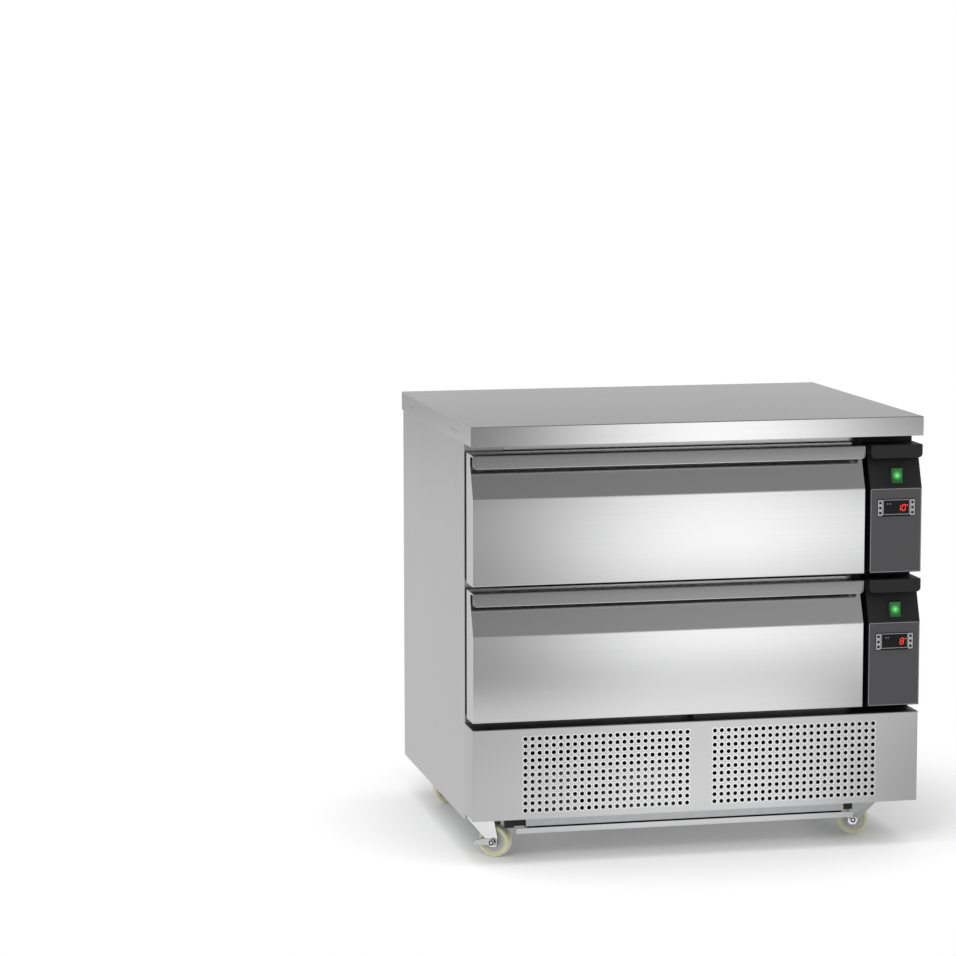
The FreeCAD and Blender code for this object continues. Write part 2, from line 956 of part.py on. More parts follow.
def make_fascia(level):
    bottom = f"{level}_drawer"
    name = f"fascia_{level}"
    outer = profile_body(
        name + "_outer",
        "YZ_Plane",
        front_outline("fascia_setback", "fascia_lip_setback", "drawer_height"),
        "fascia_width",
        x="fascia_left",
        z=bottom,
    )
    round_lip(outer, (0, number("fascia_width")), number("drawer_height - lip_height"))
    inner = profile_body(
        name + "_inner",
        "YZ_Plane",
        hollow_outline("fascia_setback", "fascia_wall", "drawer_height"),
        "fascia_width - 2 * fascia_wall",
        x="fascia_left + fascia_wall",
        z=bottom,
    )
    controller_hole = box(
        name + "_controller_hole",
        (
            "fascia_middle - controller_width / 2 + controller_rebate",
            "fascia_middle + controller_width / 2 - controller_rebate",
        ),
        ("front", "front + fascia_setback + 2 * fascia_wall"),
        (
            f"{bottom} + controller_level - controller_height / 2 + controller_rebate",
            f"{bottom} + controller_level + controller_height / 2 - controller_rebate",
        ),
    )
    switch_hole = slope_block(
        name + "_switch_hole",
        level,
        "switch_width / 2 - switch_wall",
        ("-fascia_wall", "3 * fascia_wall"),
        "switch_length / 2 - switch_wall",
    )
    subpart(cut(name, outer, [inner, controller_hole, switch_hole]))


def make_overlay(level):
    """The grey foil on the flat of a fascia, cut out round the controller."""
    bottom = f"{level}_drawer"
    blank = box(
        f"overlay_{level}_blank",
        ("fascia_left + overlay_margin / 2", "fascia_right - overlay_margin"),
        ("front + fascia_setback - overlay_thickness", "front + fascia_setback"),
        (f"{bottom} + overlay_margin", f"{bottom} + face_height - overlay_margin"),
    )
    hole = box(
        f"overlay_{level}_hole",
        (
            "fascia_middle - controller_width / 2 + controller_rebate",
            "fascia_middle + controller_width / 2 - controller_rebate",
        ),
        ("front", "front + 2 * fascia_setback"),
        (
            f"{bottom} + controller_level - controller_height / 2 + controller_rebate",
            f"{bottom} + controller_level + controller_height / 2 - controller_rebate",
        ),
    )
    subpart(cut(f"overlay_{level}", blank, [hole]))


def make_controller(level):
    """A panel instrument: a flat bezel on the foil and a case through the fascia."""
    middle = f"{level}_drawer + controller_level"
    face = "front + fascia_setback - overlay_thickness"
    bezel = box(
        f"controller_{level}_bezel",
        ("fascia_middle - controller_width / 2", "fascia_middle + controller_width / 2"),
        (f"{face} - controller_bezel", face),
        (f"{middle} - controller_height / 2", f"{middle} + controller_height / 2"),
    )
    case = box(
        f"controller_{level}_case",
        (
            "fascia_middle - controller_width / 2 + controller_rebate",
            "fascia_middle + controller_width / 2 - controller_rebate",
        ),
        (face, f"{face} + controller_body"),
        (
            f"{middle} - controller_height / 2 + controller_rebate",
            f"{middle} + controller_height / 2 - controller_rebate",
        ),
    )
    subpart(fuse(f"controller_{level}", [bezel, case]))


def make_switch(level):
    """A rocker switch: a framed case set into the slope and a rocker that tilts in it."""
    frame = slope_block(
        f"switch_{level}_frame",
        level,
        "switch_width / 2",
        ("-switch_bezel", "0"),
        "switch_length / 2",
    )
    case = slope_block(
        f"switch_{level}_case",
        level,
        "switch_width / 2 - switch_wall",
        ("-switch_bezel", "switch_body"),
        "switch_length / 2 - switch_wall",
    )
    room = slope_block(
        f"switch_{level}_room",
        level,
        "switch_width / 2 - 2 * switch_wall",
        ("-2 * switch_bezel", "switch_body - switch_wall"),
        "switch_length / 2 - 2 * switch_wall",
    )
    solid = fuse(f"switch_{level}_solid", [frame, case])
    subpart(cut(f"switch_case_{level}", solid, [room]))

    half_length = "switch_length / 2 - 2 * switch_wall - rocker_end_gap"
    half_width = "switch_width / 2 - 2 * switch_wall - rocker_gap"
    body = new_body(f"rocker_{level}")
    sketch = sketch_on(body, f"rocker_{level}_outline", "YZ_Plane")
    draw_outline(
        sketch,
        [
            ("-rocker_rise", half_length),
            ("-rocker_dip", "0"),
            ("-rocker_rise", f"-({half_length})"),
            ("rocker_pivot", f"-({half_length})"),
            ("2 * rocker_pivot", f"-({half_length}) / 2"),
            ("2 * rocker_pivot", f"({half_length}) / 2"),
            ("rocker_pivot", half_length),
        ],
    )
    pad(body, f"rocker_{level}_pad", sketch, f"2 * ({half_width})", both_ways=True)
    pivot = FreeCAD.Vector(0, number("rocker_pivot"), 0)
    axis = FreeCAD.Vector(1, 0, 0)
    tilt = FreeCAD.Placement(FreeCAD.Vector(), FreeCAD.Rotation(axis, number("rocker_tilt")), pivot)
    body.Placement = slope_frame(level) * tilt
    subpart(body)


# Base panel: one folded sheet with two grids of holes


def make_base_panel():
    """The sheet's face is drawn with its holes at once, then its returns are joined to it."""
    low = number("base_bottom")
    high = number("base_top")
    front = number("front")
    side = number("side")
    thick = number("base_sheet")

    def upright_face(left, right, bottom, top):
        corners = [(left, bottom), (right, bottom), (right, top), (left, top), (left, bottom)]
        return Part.makePolygon([FreeCAD.Vector(x, front, z) for x, z in corners])

    pitch = number("hole_pitch")
    half = number("hole_side") / 2
    columns = int(number("hole_columns"))
    first_columns = (
        -side + number("left_grid_inset"),
        side - number("right_grid_inset") - pitch * (columns - 1),
    )
    wires = [upright_face(-side, side, low, high)]
    for first in first_columns:
        for column in range(columns):
            for row in range(int(number("hole_rows"))):
                x = first + pitch * column
                z = high - number("grid_top") - pitch * row
                wires.append(upright_face(x - half, x + half, z - half, z + half))
    face = Part.makeFace(wires, "Part::FaceMakerCheese")
    panel = face.extrude(FreeCAD.Vector(0, thick, 0))
    depth = number("frame_setback")
    returns = [
        Part.makeBox(thick, depth, high - low, FreeCAD.Vector(-side, front, low)),
        Part.makeBox(thick, depth, high - low, FreeCAD.Vector(side - thick, front, low)),
        Part.makeBox(2 * side, depth, thick, FreeCAD.Vector(-side, front, high - thick)),
    ]
    piece = document.addObject("Part::Feature", "base_panel")
    piece.Shape = panel.multiFuse(returns).removeSplitter().Solids[0]
    subpart(piece)


# Chassis: floor of the machine space with a sunk well, and the drip tray below it


def make_chassis():
    inner = "side - base_sheet"
    floor = box(
        "chassis_floor",
        (f"-({inner})", inner),
        ("front + base_sheet", "rear_face"),
        ("base_bottom", "base_bottom + chassis_sheet"),
    )
    mouth = box(
        "chassis_mouth",
        (
            "well_middle - well_half_width + chassis_sheet",
            "well_middle + well_half_width - chassis_sheet",
        ),
        ("front + well_front + chassis_sheet", "front + well_front + well_length - chassis_sheet"),
        ("well_floor", "base_bottom + 2 * chassis_sheet"),
    )
    well = box(
        "chassis_well",
        ("well_middle - well_half_width", "well_middle + well_half_width"),
        ("front + well_front", "front + well_front + well_length"),
        ("well_bottom", "base_bottom + chassis_sheet"),
    )
    upstand = box(
        "chassis_upstand",
        (f"-({inner})", inner),
        ("rear_face - panel_sheet - chassis_sheet", "rear_face - panel_sheet"),
        ("base_bottom", "base_bottom + chassis_upstand"),
    )
    solid = fuse("chassis_solid", [floor, well, upstand])
    subpart(cut("chassis_pan", solid, [mouth]))


def across_well(half):
    """A pair of formulas as far to the left of the well's middle as to the right."""
    return (f"well_middle - ({half})", f"well_middle + ({half})")


def make_drip_tray():
    front = "front + tray_front"
    back = "front + tray_front + tray_length"
    low = "tray_top - tray_height"
    face = box(
        "tray_face",
        across_well("tray_face_half_width"),
        (front, f"{front} + tray_front_sheet"),
        (low, "tray_top"),
    )
    outer = box(
        "tray_outer",
        across_well("tray_half_width"),
        (f"{front} + tray_front_sheet", back),
        (low, "tray_top"),
    )
    rims = box(
        "tray_rims",
        across_well("tray_half_width + tray_rim"),
        (f"{front} + tray_front_sheet", back),
        ("tray_top - tray_sheet", "tray_top"),
    )
    room = box(
        "tray_room",
        across_well("tray_half_width - tray_sheet"),
        (f"{front} + tray_front_sheet + tray_sheet", f"{back} - tray_sheet"),
        (f"{low} + tray_sheet", "tray_top + tray_sheet"),
    )
    solid = fuse("tray_solid", [face, outer, rims])
    subpart(cut("drip_tray", solid, [room]))


def make_tray_guides():
    """Two folded strips below the well whose ledges the tray's rims slide on."""
    ledge_top = "tray_top - tray_sheet - guide_gap / 2"
    guides = []
    for hand, sign in (("left", -1), ("right", 1)):
        inner = "tray_half_width + 2 * guide_gap"
        web = "tray_half_width + tray_rim + guide_gap"
        outline = [
            (f"{sign} * ({inner})", f"{ledge_top} - guide_sheet"),
            (f"{sign} * ({web} + guide_sheet)", f"{ledge_top} - guide_sheet"),
            (f"{sign} * ({web} + guide_sheet)", "well_bottom - guide_sheet"),
            (f"{sign} * ({web} + guide_foot)", "well_bottom - guide_sheet"),
            (f"{sign} * ({web} + guide_foot)", "well_bottom"),
            (f"{sign} * ({web})", "well_bottom"),
            (f"{sign} * ({web})", ledge_top),
            (f"{sign} * ({inner})", ledge_top),
        ]
        guides.append(
            profile_body(
                f"tray_guide_{hand}",
                "XZ_Plane",
                outline,
                "tray_length - guide_shortfall",
                x="well_middle",
                y="front + well_front + guide_setback",
                reverse=True,
            )
        )
    subpart(group("tray_guides", guides))


# Machine space: compressor, condenser, fan and cable gland


def make_compressor():
    """An upright pot on a foot plate with four rubber feet."""
    level = "well_floor + foot_height"
    pot = cylinder(
        "compressor_pot",
        "compressor_radius",
        "compressor_height",
        "compressor_x",
        "compressor_y",
        f"{level} + foot_height / 2",
    )
    span = "(foot_spread + foot_radius)"
    plate = box(
        "compressor_plate",
        (f"compressor_x - {span}", f"compressor_x + {span}"),
        (f"compressor_y - {span}", f"compressor_y + {span}"),
        (level, f"{level} + foot_height / 2"),
    )
    feet = []
    for index, (a, b) in enumerate(square_corners(1)):
        x = f"compressor_x + {a} * foot_spread"
        y = f"compressor_y + {b} * foot_spread"
        feet.append(
            box(
                f"compressor_foot_{index}",
                (f"{x} - foot_radius", f"{x} + foot_radius"),
                (f"{y} - foot_radius", f"{y} + foot_radius"),
                ("well_floor", level),
            )
        )
    subpart(fuse("compressor", [pot, plate] + feet))


def make_condenser():
    """A finned block held behind the left hole field by its two end legs."""
    left = "condenser_x - condenser_width / 2"
    right = "condenser_x + condenser_width / 2"
    near = "front + condenser_setback"
    floor = "base_bottom + chassis_sheet"
    low = "cabinet_bottom - condenser_gap - condenser_height"
    fins = finned_block(
        "condenser_fins_block",
        (left, right),
        (near, f"{near} + condenser_depth"),
        (low, f"{low} + condenser_height"),
        "condenser_fins",
        "fin_thickness",
    )
    legs = []
    for hand, start in (("left", left), ("right", f"{right} - leg_sheet")):
        legs.append(
            box(
                f"condenser_leg_{hand}",
                (start, f"{start} + leg_sheet"),
                (near, "front + well_front"),
                (floor, low),
            )
        )
    subpart(fuse("condenser", [fins] + legs))


def lying_prism(name, sides, radius, length, start):
    """A many-sided bar on the fan's axis."""
    bar = document.addObject("Part::Prism", name)
    bar.Polygon = sides
    bind(bar, "Circumradius", radius)
    bind(bar, "Height", length)
    lie_down = FreeCAD.Rotation(FreeCAD.Vector(1, 0, 0), -90)
    bar.Placement = FreeCAD.Placement(FreeCAD.Vector(), lie_down)
    place(bar, "fan_x", start, "fan_level")
    return bar


def make_fan():
    """A motor on a post behind the condenser, and a bladed wheel on its shaft."""
    hub = "front + condenser_setback + condenser_depth + fan_gap"
    motor = f"{hub} + fan_hub_length + motor_gap"
    can = lying_prism("motor_can", PLAIN_ROUND, "motor_radius", "motor_length", motor)
    post = box(
        "motor_post",
        ("fan_x - motor_radius / 2", "fan_x + motor_radius / 2"),
        (f"{motor} + motor_gap", f"{motor} + motor_length - motor_gap"),
        ("well_floor", "fan_level"),
    )
    shaft = cylinder(
        "motor_shaft",
        "axle_radius",
        "motor_gap + fan_hub_length / 2",
        "fan_x",
        f"{motor} - motor_gap - fan_hub_length / 2",
        "fan_level",
        (0, 1, 0),
    )
    subpart(fuse("fan_motor", [can, post, shaft]))

    round_hub = lying_prism("fan_hub", PLAIN_ROUND, "fan_hub_radius", "fan_hub_length", hub)
    blades = []
    middle = number(f"{hub} + fan_hub_length / 2")
    centre = FreeCAD.Vector(number("fan_x"), middle, number("fan_level"))
    pitch = FreeCAD.Rotation(FreeCAD.Vector(0, 0, 1), number("blade_pitch"))
    corner = FreeCAD.Vector(
        -number("blade_width") / 2, -number("blade_thickness") / 2, number("fan_hub_radius / 2")
    )
    inner = FreeCAD.Placement(corner, FreeCAD.Rotation())
    for index in range(int(number("fan_blades"))):
        blade = document.addObject("Part::Box", f"fan_blade_{index}")
        bind(blade, "Length", "blade_width")
        bind(blade, "Width", "blade_thickness")
        bind(blade, "Height", "fan_radius - fan_hub_radius / 2")
        around = FreeCAD.Rotation(FreeCAD.Vector(0, 1, 0), 360 * index / number("fan_blades"))
        turned = FreeCAD.Placement(centre, around) * FreeCAD.Placement(FreeCAD.Vector(), pitch)
        blade.Placement = turned * inner
        blades.append(blade)
    bore = cylinder(
        "fan_bore",
        "axle_radius + shaft_clearance",
        "fan_hub_length / 2 + castor_clearance",
        "fan_x",
        f"{hub} + fan_hub_length / 2 - castor_clearance",
        "fan_level",
        (0, 1, 0),
    )
    subpart(cut("fan_wheel", fuse("fan_wheel_solid", [round_hub] + blades), [bore]))


def make_cable_gland():
    """The six-sided gland through which a supply cable enters at the back."""
    gland = document.addObject("Part::Prism", "cable_gland")
    gland.Polygon = HEXAGON
    bind(gland, "Circumradius", "gland_radius")
    bind(gland, "Height", "gland_length")
    lie_down = FreeCAD.Rotation(FreeCAD.Vector(1, 0, 0), -90)
    gland.Placement = FreeCAD.Placement(FreeCAD.Vector(), lie_down)
    place(gland, "side - gland_inset", "rear_face", "base_bottom + gland_level")
    subpart(gland)


# Castors


def castor_place(corner):
    """A castor's place: its swivel axis at floor level, turned to where its wheel trails."""
    x = "-side + castor_inset_left" if "left" in corner else "side - castor_inset_right"
    y = f"front + castor_{corner}" if "front" in corner else "back - castor_rear"
    turn = FreeCAD.Rotation(FreeCAD.Vector(0, 0, 1), number(f"turn_{corner}"))
    return FreeCAD.Placement(FreeCAD.Vector(number(x), number(y), 0), turn)


def square_corners(half):
    return [(a * half, b * half) for a in (-1, 1) for b in (-1, 1)]


def make_castor_plates():
    """Each top plate with the ball race below it, and the four bolts that hold it."""
    under = "castor_height - plate_thickness"
    half = "plate_side / 2"
    plates = []
    bolts = []
    for corner in CORNERS:
        spot = castor_place(corner).Base
        x, y = spot.x, spot.y
        plate = box(
            f"plate_{corner}",
            (f"{x} - {half}", f"{x} + {half}"),
            (f"{y} - {half}", f"{y} + {half}"),
            (under, "castor_height"),
        )
        race = cylinder(
            f"race_{corner}",
            "raceway_radius",
            f"{under} - crown_top - castor_clearance",
            x,
            y,
            "crown_top + castor_clearance",
        )
        plates.append(fuse(f"castor_plate_{corner}", [plate, race]))
        for index, (a, b) in enumerate(square_corners(number("plate_bolt_spacing") / 2)):
            bolt = document.addObject("Part::Prism", f"plate_bolt_{corner}_{index}")
            bolt.Polygon = HEXAGON
            bind(bolt, "Circumradius", "bolt_flats / sqrt(3)")
            bind(bolt, "Height", "bolt_head")
            place(bolt, x + a, y + b, f"{under} - bolt_head")
            bolts.append(bolt)
    subpart(group("castor_plates", plates))
    subpart(group("castor_bolts", bolts))


def make_fork(corner):
    """A fork pressed from one sheet, its two legs held together by the axle bolt."""
    body = new_body(f"fork_{corner}")
    side_view = sketch_on(body, f"fork_side_{corner}", "XZ_Plane")
    draw_outline(
        side_view,
        [
            ("-crown_radius", "crown_top"),
            ("crown_radius", "crown_top"),
            ("castor_trail + fork_eye", "axle_level + fork_eye"),
            ("castor_trail + fork_eye", "axle_level - fork_eye / 2"),
            ("castor_trail + fork_eye / 2", "axle_level - fork_eye"),
            ("castor_trail - fork_eye / 2", "axle_level - fork_eye"),
            ("castor_trail - fork_eye", "axle_level"),
            ("-crown_radius", "crown_bottom - crown_thickness"),
        ],
    )
    pad(body, f"fork_pad_{corner}", side_view, "2 * fork_outside", both_ways=True)
    end_view = sketch_on(body, f"fork_room_{corner}", "YZ_Plane")
    draw_outline(
        end_view,
        [
            ("-fork_inside", "0"),
            ("fork_inside", "0"),
            ("fork_inside", "crown_bottom"),
            ("-fork_inside", "crown_bottom"),
        ],
    )
    pocket(body, f"fork_pocket_{corner}", end_view, "4 * crown_radius + 2 * castor_trail", True)

    near = "-(fork_outside)"
    if "front" in corner:
        near = "-(fork_outside + pedal_sheet + 2 * castor_clearance)"
    shaft = cylinder(
        f"axle_{corner}",
        "axle_radius",
        f"fork_outside - ({near})",
        "castor_trail",
        near,
        "axle_level",
        (0, 1, 0),
    )
    ends = []
    for index, start in enumerate((f"{near} - axle_head", "fork_outside")):
        end = document.addObject("Part::Prism", f"axle_nut_{corner}_{index}")
        end.Polygon = HEXAGON
        bind(end, "Circumradius", "axle_flats / sqrt(3)")
        bind(end, "Height", "axle_head")
        lie_down = FreeCAD.Rotation(FreeCAD.Vector(1, 0, 0), -90)
        end.Placement = FreeCAD.Placement(FreeCAD.Vector(), lie_down)
        place(end, "castor_trail", start, "axle_level")
        ends.append(end)
    whole = fuse(f"castor_fork_{corner}", [body, shaft] + ends)
    whole.Placement = castor_place(corner)
    subpart(whole)


def make_wheel(corner):
    """A moulded wheel with a bore that turns on the axle bolt."""
    name = f"castor_wheel_{corner}"
    half = "wheel_width / 2"
    tread = cylinder(
        name + "_tread",
        "wheel_radius",
        "wheel_width",
        "castor_trail",
        f"-({half})",
        "axle_level",
        (0, 1, 0),
    )
    bore = cylinder(
        name + "_bore",
        "axle_radius + shaft_clearance",
        "wheel_width + 2 * fork_gap",
        "castor_trail",
        f"-({half} + fork_gap)",
        "axle_level",
        (0, 1, 0),
    )
    wheel = cut(name, tread, [bore])
    wheel.Placement = castor_place(corner)
    subpart(wheel)


def make_pedal(corner):
    """A brake lever on the axle bolt: an arm beside the fork leg and a tab to step on."""
    outside = "-(fork_outside + pedal_sheet + castor_clearance)"
    name = f"brake_pedal_{corner}"
    arm = profile_body(
        name + "_arm",
        "XZ_Plane",
        [
            ("fork_eye", "-pedal_half_height"),
            ("fork_eye", "pedal_half_height"),
            ("-pedal_length", "pedal_half_height"),
            ("-pedal_length - pedal_foot_length", "-pedal_half_height"),
        ],
        "pedal_sheet",
        y=outside,
        reverse=True,
    )
    foot = box(
        name + "_foot",
        ("-pedal_length", "-pedal_length + pedal_foot_length / 2"),
        (f"{outside} - pedal_foot", outside),
        ("pedal_half_height - pedal_sheet", "pedal_half_height"),
    )
    hole = cylinder(
        name + "_hole",
        "axle_radius + shaft_clearance",
        "3 * pedal_sheet",
        "0",
        f"{outside} - pedal_sheet",
        "0",
        (0, 1, 0),
    )
    piece = cut(name, fuse(name + "_solid", [arm, foot]), [hole])
    hub = FreeCAD.Vector(number("castor_trail"), 0, number("axle_level"))
    droop = FreeCAD.Rotation(FreeCAD.Vector(0, 1, 0), -number("pedal_droop"))
    piece.Placement = castor_place(corner) * FreeCAD.Placement(hub, droop)
    subpart(piece)


def make_fixings():
    """The knob that holds the base panel and the screws in the fascias' left sides."""
    pieces = [
        cylinder(
            "base_panel_knob",
            "knob_radius",
            "knob_height",
            "0",
            "front + knob_setback",
            "base_top",
        )
    ]
    for level in LEVELS:
        for place_up in ("low", "high"):
            screw = document.addObject("Part::Prism", f"fascia_screw_{level}_{place_up}")
            screw.Polygon = HEXAGON
            bind(screw, "Circumradius", "screw_radius")
            bind(screw, "Height", "screw_head")
            face_left = FreeCAD.Rotation(FreeCAD.Vector(0, 1, 0), -90)
            screw.Placement = FreeCAD.Placement(FreeCAD.Vector(), face_left)
            height = f"{level}_drawer + screw_level_{place_up}"
            place(screw, "fascia_left", "front + screw_setback", height)
            pieces.append(screw)
    subpart(group("fixing_screws", pieces))


make_worktop()
make_side_panel("side_panel_left", -1, "left_stile")
make_side_panel("side_panel_right", 1, "right_stile")
make_rear_panel()
make_front_frame()
make_liner("liner_lower", "lower_floor")
make_liner("liner_upper", "upper_floor")
make_insulation()
make_evaporators()
for drawer_level in LEVELS:
    make_drawer(drawer_level)
    make_runners(drawer_level)
make_control_housing()
for fascia_level in LEVELS:
    make_fascia(fascia_level)
    make_overlay(fascia_level)
    make_controller(fascia_level)
    make_switch(fascia_level)
make_chassis()
make_drip_tray()
make_tray_guides()
make_compressor()
make_condenser()
make_fan()
make_cable_gland()
make_fixings()
make_castor_plates()
for castor_corner in CORNERS:
    make_fork(castor_corner)
    make_wheel(castor_corner)
    if "front" in castor_corner:
        make_pedal(castor_corner)
make_base_panel()

document.recompute()

for item in document.Objects:
    if {"Invalid", "Error"} & set(item.State):
        raise RuntimeError(f"{item.Name} failed: {item.State}")
for piece in subparts:
    if piece.Shape.isNull() or not piece.Shape.isValid():
        raise RuntimeError(f"{piece.Label} has no valid shape")

os.makedirs("parts", exist_ok=True)
for piece in subparts:
    piece.Shape.exportStep(f"parts/{piece.Label}.step")
print(len(subparts), "sub-parts written")
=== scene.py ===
# %% [markdown]
# # A refrigerated drawer counter, dressed in Blender
# The counter is a steel cabinet on four castors. It has a flat worktop, two long drawers with a
# grip lip, a narrow black control column at their right and a perforated panel below. Its
# solids come from the CAD frame and stay where they are. Each step below either gives such a
# solid its finish, or puts a finer surface in its place that moves with the same body.

import json
import math

import bpy
import numpy as np
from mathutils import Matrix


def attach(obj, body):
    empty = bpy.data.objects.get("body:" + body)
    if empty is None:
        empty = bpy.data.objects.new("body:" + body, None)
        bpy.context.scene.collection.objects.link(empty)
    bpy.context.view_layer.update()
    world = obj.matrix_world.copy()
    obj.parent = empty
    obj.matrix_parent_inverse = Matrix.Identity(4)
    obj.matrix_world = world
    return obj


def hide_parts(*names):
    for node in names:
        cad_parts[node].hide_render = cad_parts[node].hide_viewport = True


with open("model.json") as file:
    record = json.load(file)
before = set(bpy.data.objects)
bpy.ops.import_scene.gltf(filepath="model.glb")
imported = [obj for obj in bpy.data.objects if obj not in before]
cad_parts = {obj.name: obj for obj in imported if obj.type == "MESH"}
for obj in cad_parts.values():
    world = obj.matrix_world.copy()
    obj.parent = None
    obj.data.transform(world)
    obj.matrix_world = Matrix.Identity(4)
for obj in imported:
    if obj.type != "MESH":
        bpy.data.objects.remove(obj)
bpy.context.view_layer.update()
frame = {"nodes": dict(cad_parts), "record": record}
nodes = frame["nodes"]

# %% [markdown]
# ## Mesh helpers
# Every new surface is worked out as whole numpy arrays. Three forms are enough for sheet metal
# and castings: a profile pulled along a line, a stack of loops, and a profile turned about an
# axis. Sizes are written in millimetres, because that is how such a counter is drawn, and are
# made metres in one place. Depths are measured from the drawer side, where the front plane is 0.

# %% Millimetres to metres and arrays to an object
MM = 0.001
HALF_DEPTH = 350


def metres(points):
    """Points as (across, depth behind the front plane, height) in mm, moved to the frame."""
    shifted = np.asarray(points, dtype=float) - np.array([0.0, HALF_DEPTH, 0.0])
    return shifted * MM


def make_object(name, points, faces, body, material, stands_for=(), sharp_angle=35):
    """A mesh from mm points and face lists, smooth except where it bends by more than the angle."""
    mesh = bpy.data.meshes.new(name)
    mesh.from_pydata(metres(points), [], faces)
    mesh.validate()
    mesh.polygons.foreach_set("use_smooth", np.ones(len(mesh.polygons), dtype=bool))
    mesh.set_sharp_from_angle(angle=math.radians(sharp_angle))
    mesh.materials.append(material)
    piece = bpy.data.objects.new(name, mesh)
    bpy.context.scene.collection.objects.link(piece)
    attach(piece, body)
    if stands_for:
        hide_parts(*stands_for)
    return piece


# %% A grid of points turned into quads
def grid_faces(rows, columns, wrap_rows=False, wrap_columns=False, first=0):
    """Quads between neighbouring rows and columns, where a wrapped direction meets its start."""
    row_count = rows if wrap_rows else rows - 1
    column_count = columns if wrap_columns else columns - 1
    i = np.arange(row_count)[:, None]
    j = np.arange(column_count)[None, :]
    right = (i + 1) % rows
    up = (j + 1) % columns
    corners = [i * columns + j, right * columns + j, right * columns + up, i * columns + up]
    quads = np.stack([np.broadcast_to(c, (row_count, column_count)) for c in corners], axis=-1)
    return (quads.reshape(-1, 4) + first).tolist()


def face_outwards(piece):
    """Turns the faces of a closed piece outwards by Blender's own rule."""
    import bmesh

    work = bmesh.new()
    work.from_mesh(piece.data)
    bmesh.ops.remove_doubles(work, verts=work.verts, dist=1e-7)
    bmesh.ops.recalc_face_normals(work, faces=work.faces)
    work.to_mesh(piece.data)
    work.free()
    piece.data.set_sharp_from_angle(angle=math.radians(35))
    return piece


# %% Outlines with rounded corners
def rounded_outline(corners, radii, steps=5):
    """Each corner becomes an arc that touches both of its sides, in a few equal turns."""
    corners = np.asarray(corners, dtype=float)
    points = []
    for index, radius in enumerate(radii):
        here = corners[index]
        if radius <= 0:
            points.append(here)
            continue
        to_last = corners[index - 1] - here
        to_next = corners[(index + 1) % len(corners)] - here
        to_last /= np.linalg.norm(to_last)
        to_next /= np.linalg.norm(to_next)
        half_angle = math.acos(float(np.clip(to_last @ to_next, -1, 1))) / 2
        reach = radius / math.tan(half_angle)
        share = np.linspace(0, 1, steps + 1)
        start = here + to_last * reach
        end = here + to_next * reach
        bisector = (to_last + to_next) / np.linalg.norm(to_last + to_next)
        centre = here + bisector * radius / math.sin(half_angle)
        from_start = start - centre
        from_end = end - centre
        turn = math.pi - 2 * half_angle
        weight_start = np.sin((1 - share) * turn) / math.sin(turn)
        weight_end = np.sin(share * turn) / math.sin(turn)
        points.extend(centre + weight_start[:, None] * from_start + weight_end[:, None] * from_end)
    return np.array(points)


def ring_of_box(centre, half_size, radius, steps=6):
    """A rectangle with rounded corners seen from above, as one loop of points."""
    cx, cy = centre
    hx, hy = half_size
    corners = [(cx - hx, cy - hy), (cx + hx, cy - hy), (cx + hx, cy + hy), (cx - hx, cy + hy)]
    return rounded_outline(corners, [radius] * 4, steps)


# %% Three ways to make a closed surface
def pulled(name, outline, stations, axis, body, material, stands_for=()):
    """The outline is copied at every station along the axis, and the two ends are closed."""
    outline = np.asarray(outline, dtype=float)
    stations = np.asarray(stations, dtype=float)
    points = np.zeros((len(stations), len(outline), 3))
    others = [k for k in range(3) if k != axis]
    points[:, :, axis] = stations[:, None]
    points[:, :, others[0]] = outline[None, :, 0]
    points[:, :, others[1]] = outline[None, :, 1]
    count = len(outline)
    faces = grid_faces(len(stations), count, wrap_columns=True)
    last = (len(stations) - 1) * count
    faces += [list(range(count)), list(range(last, last + count))]
    piece = make_object(name, points.reshape(-1, 3), faces, body, material, stands_for)
    return face_outwards(piece)


def stacked(name, loops, body, material, stands_for=()):
    """Loops of equal count are joined one after another, and the first and last are closed."""
    loops = np.asarray(loops, dtype=float)
    rows, count = loops.shape[:2]
    faces = grid_faces(rows, count, wrap_columns=True)
    last = (rows - 1) * count
    faces += [list(range(count)), list(range(last, last + count))]
    piece = make_object(name, loops.reshape(-1, 3), faces, body, material, stands_for)
    return face_outwards(piece)


def turned(name, profile, centre, direction, body, material, stands_for=(), segments=64):
    """A closed profile of (radius, distance along the axis) goes once round the axis."""
    profile = np.asarray(profile, dtype=float)
    along = np.asarray(direction, dtype=float)
    along = along / np.linalg.norm(along)
    helper = np.array([0.0, 0.0, 1.0]) if abs(along[2]) < 0.9 else np.array([1.0, 0.0, 0.0])
    side = np.cross(helper, along)
    side /= np.linalg.norm(side)
    up = np.cross(along, side)
    angle = np.linspace(0, 2 * np.pi, segments, endpoint=False)
    spoke = np.cos(angle)[:, None] * side + np.sin(angle)[:, None] * up
    points = np.asarray(centre, dtype=float) + profile[None, :, 1, None] * along
    points = points + profile[None, :, 0, None] * spoke[:, None, :]
    faces = grid_faces(segments, len(profile), wrap_rows=True, wrap_columns=True)
    piece = make_object(name, points.reshape(-1, 3), faces, body, material, stands_for)
    return face_outwards(piece)


print("helpers ready")

# %% [markdown]
# ## Grain and wear shared by the finishes
# Brushed sheet has fine parallel scratches, so its brightness changes quickly across the grain
# and slowly along it. One node group stretches a noise along the grain and gives out a colour
# factor, a roughness and a height. A second group gives the soft clouds that any handled
# surface has. Both only put out values, so every material keeps its own shader.

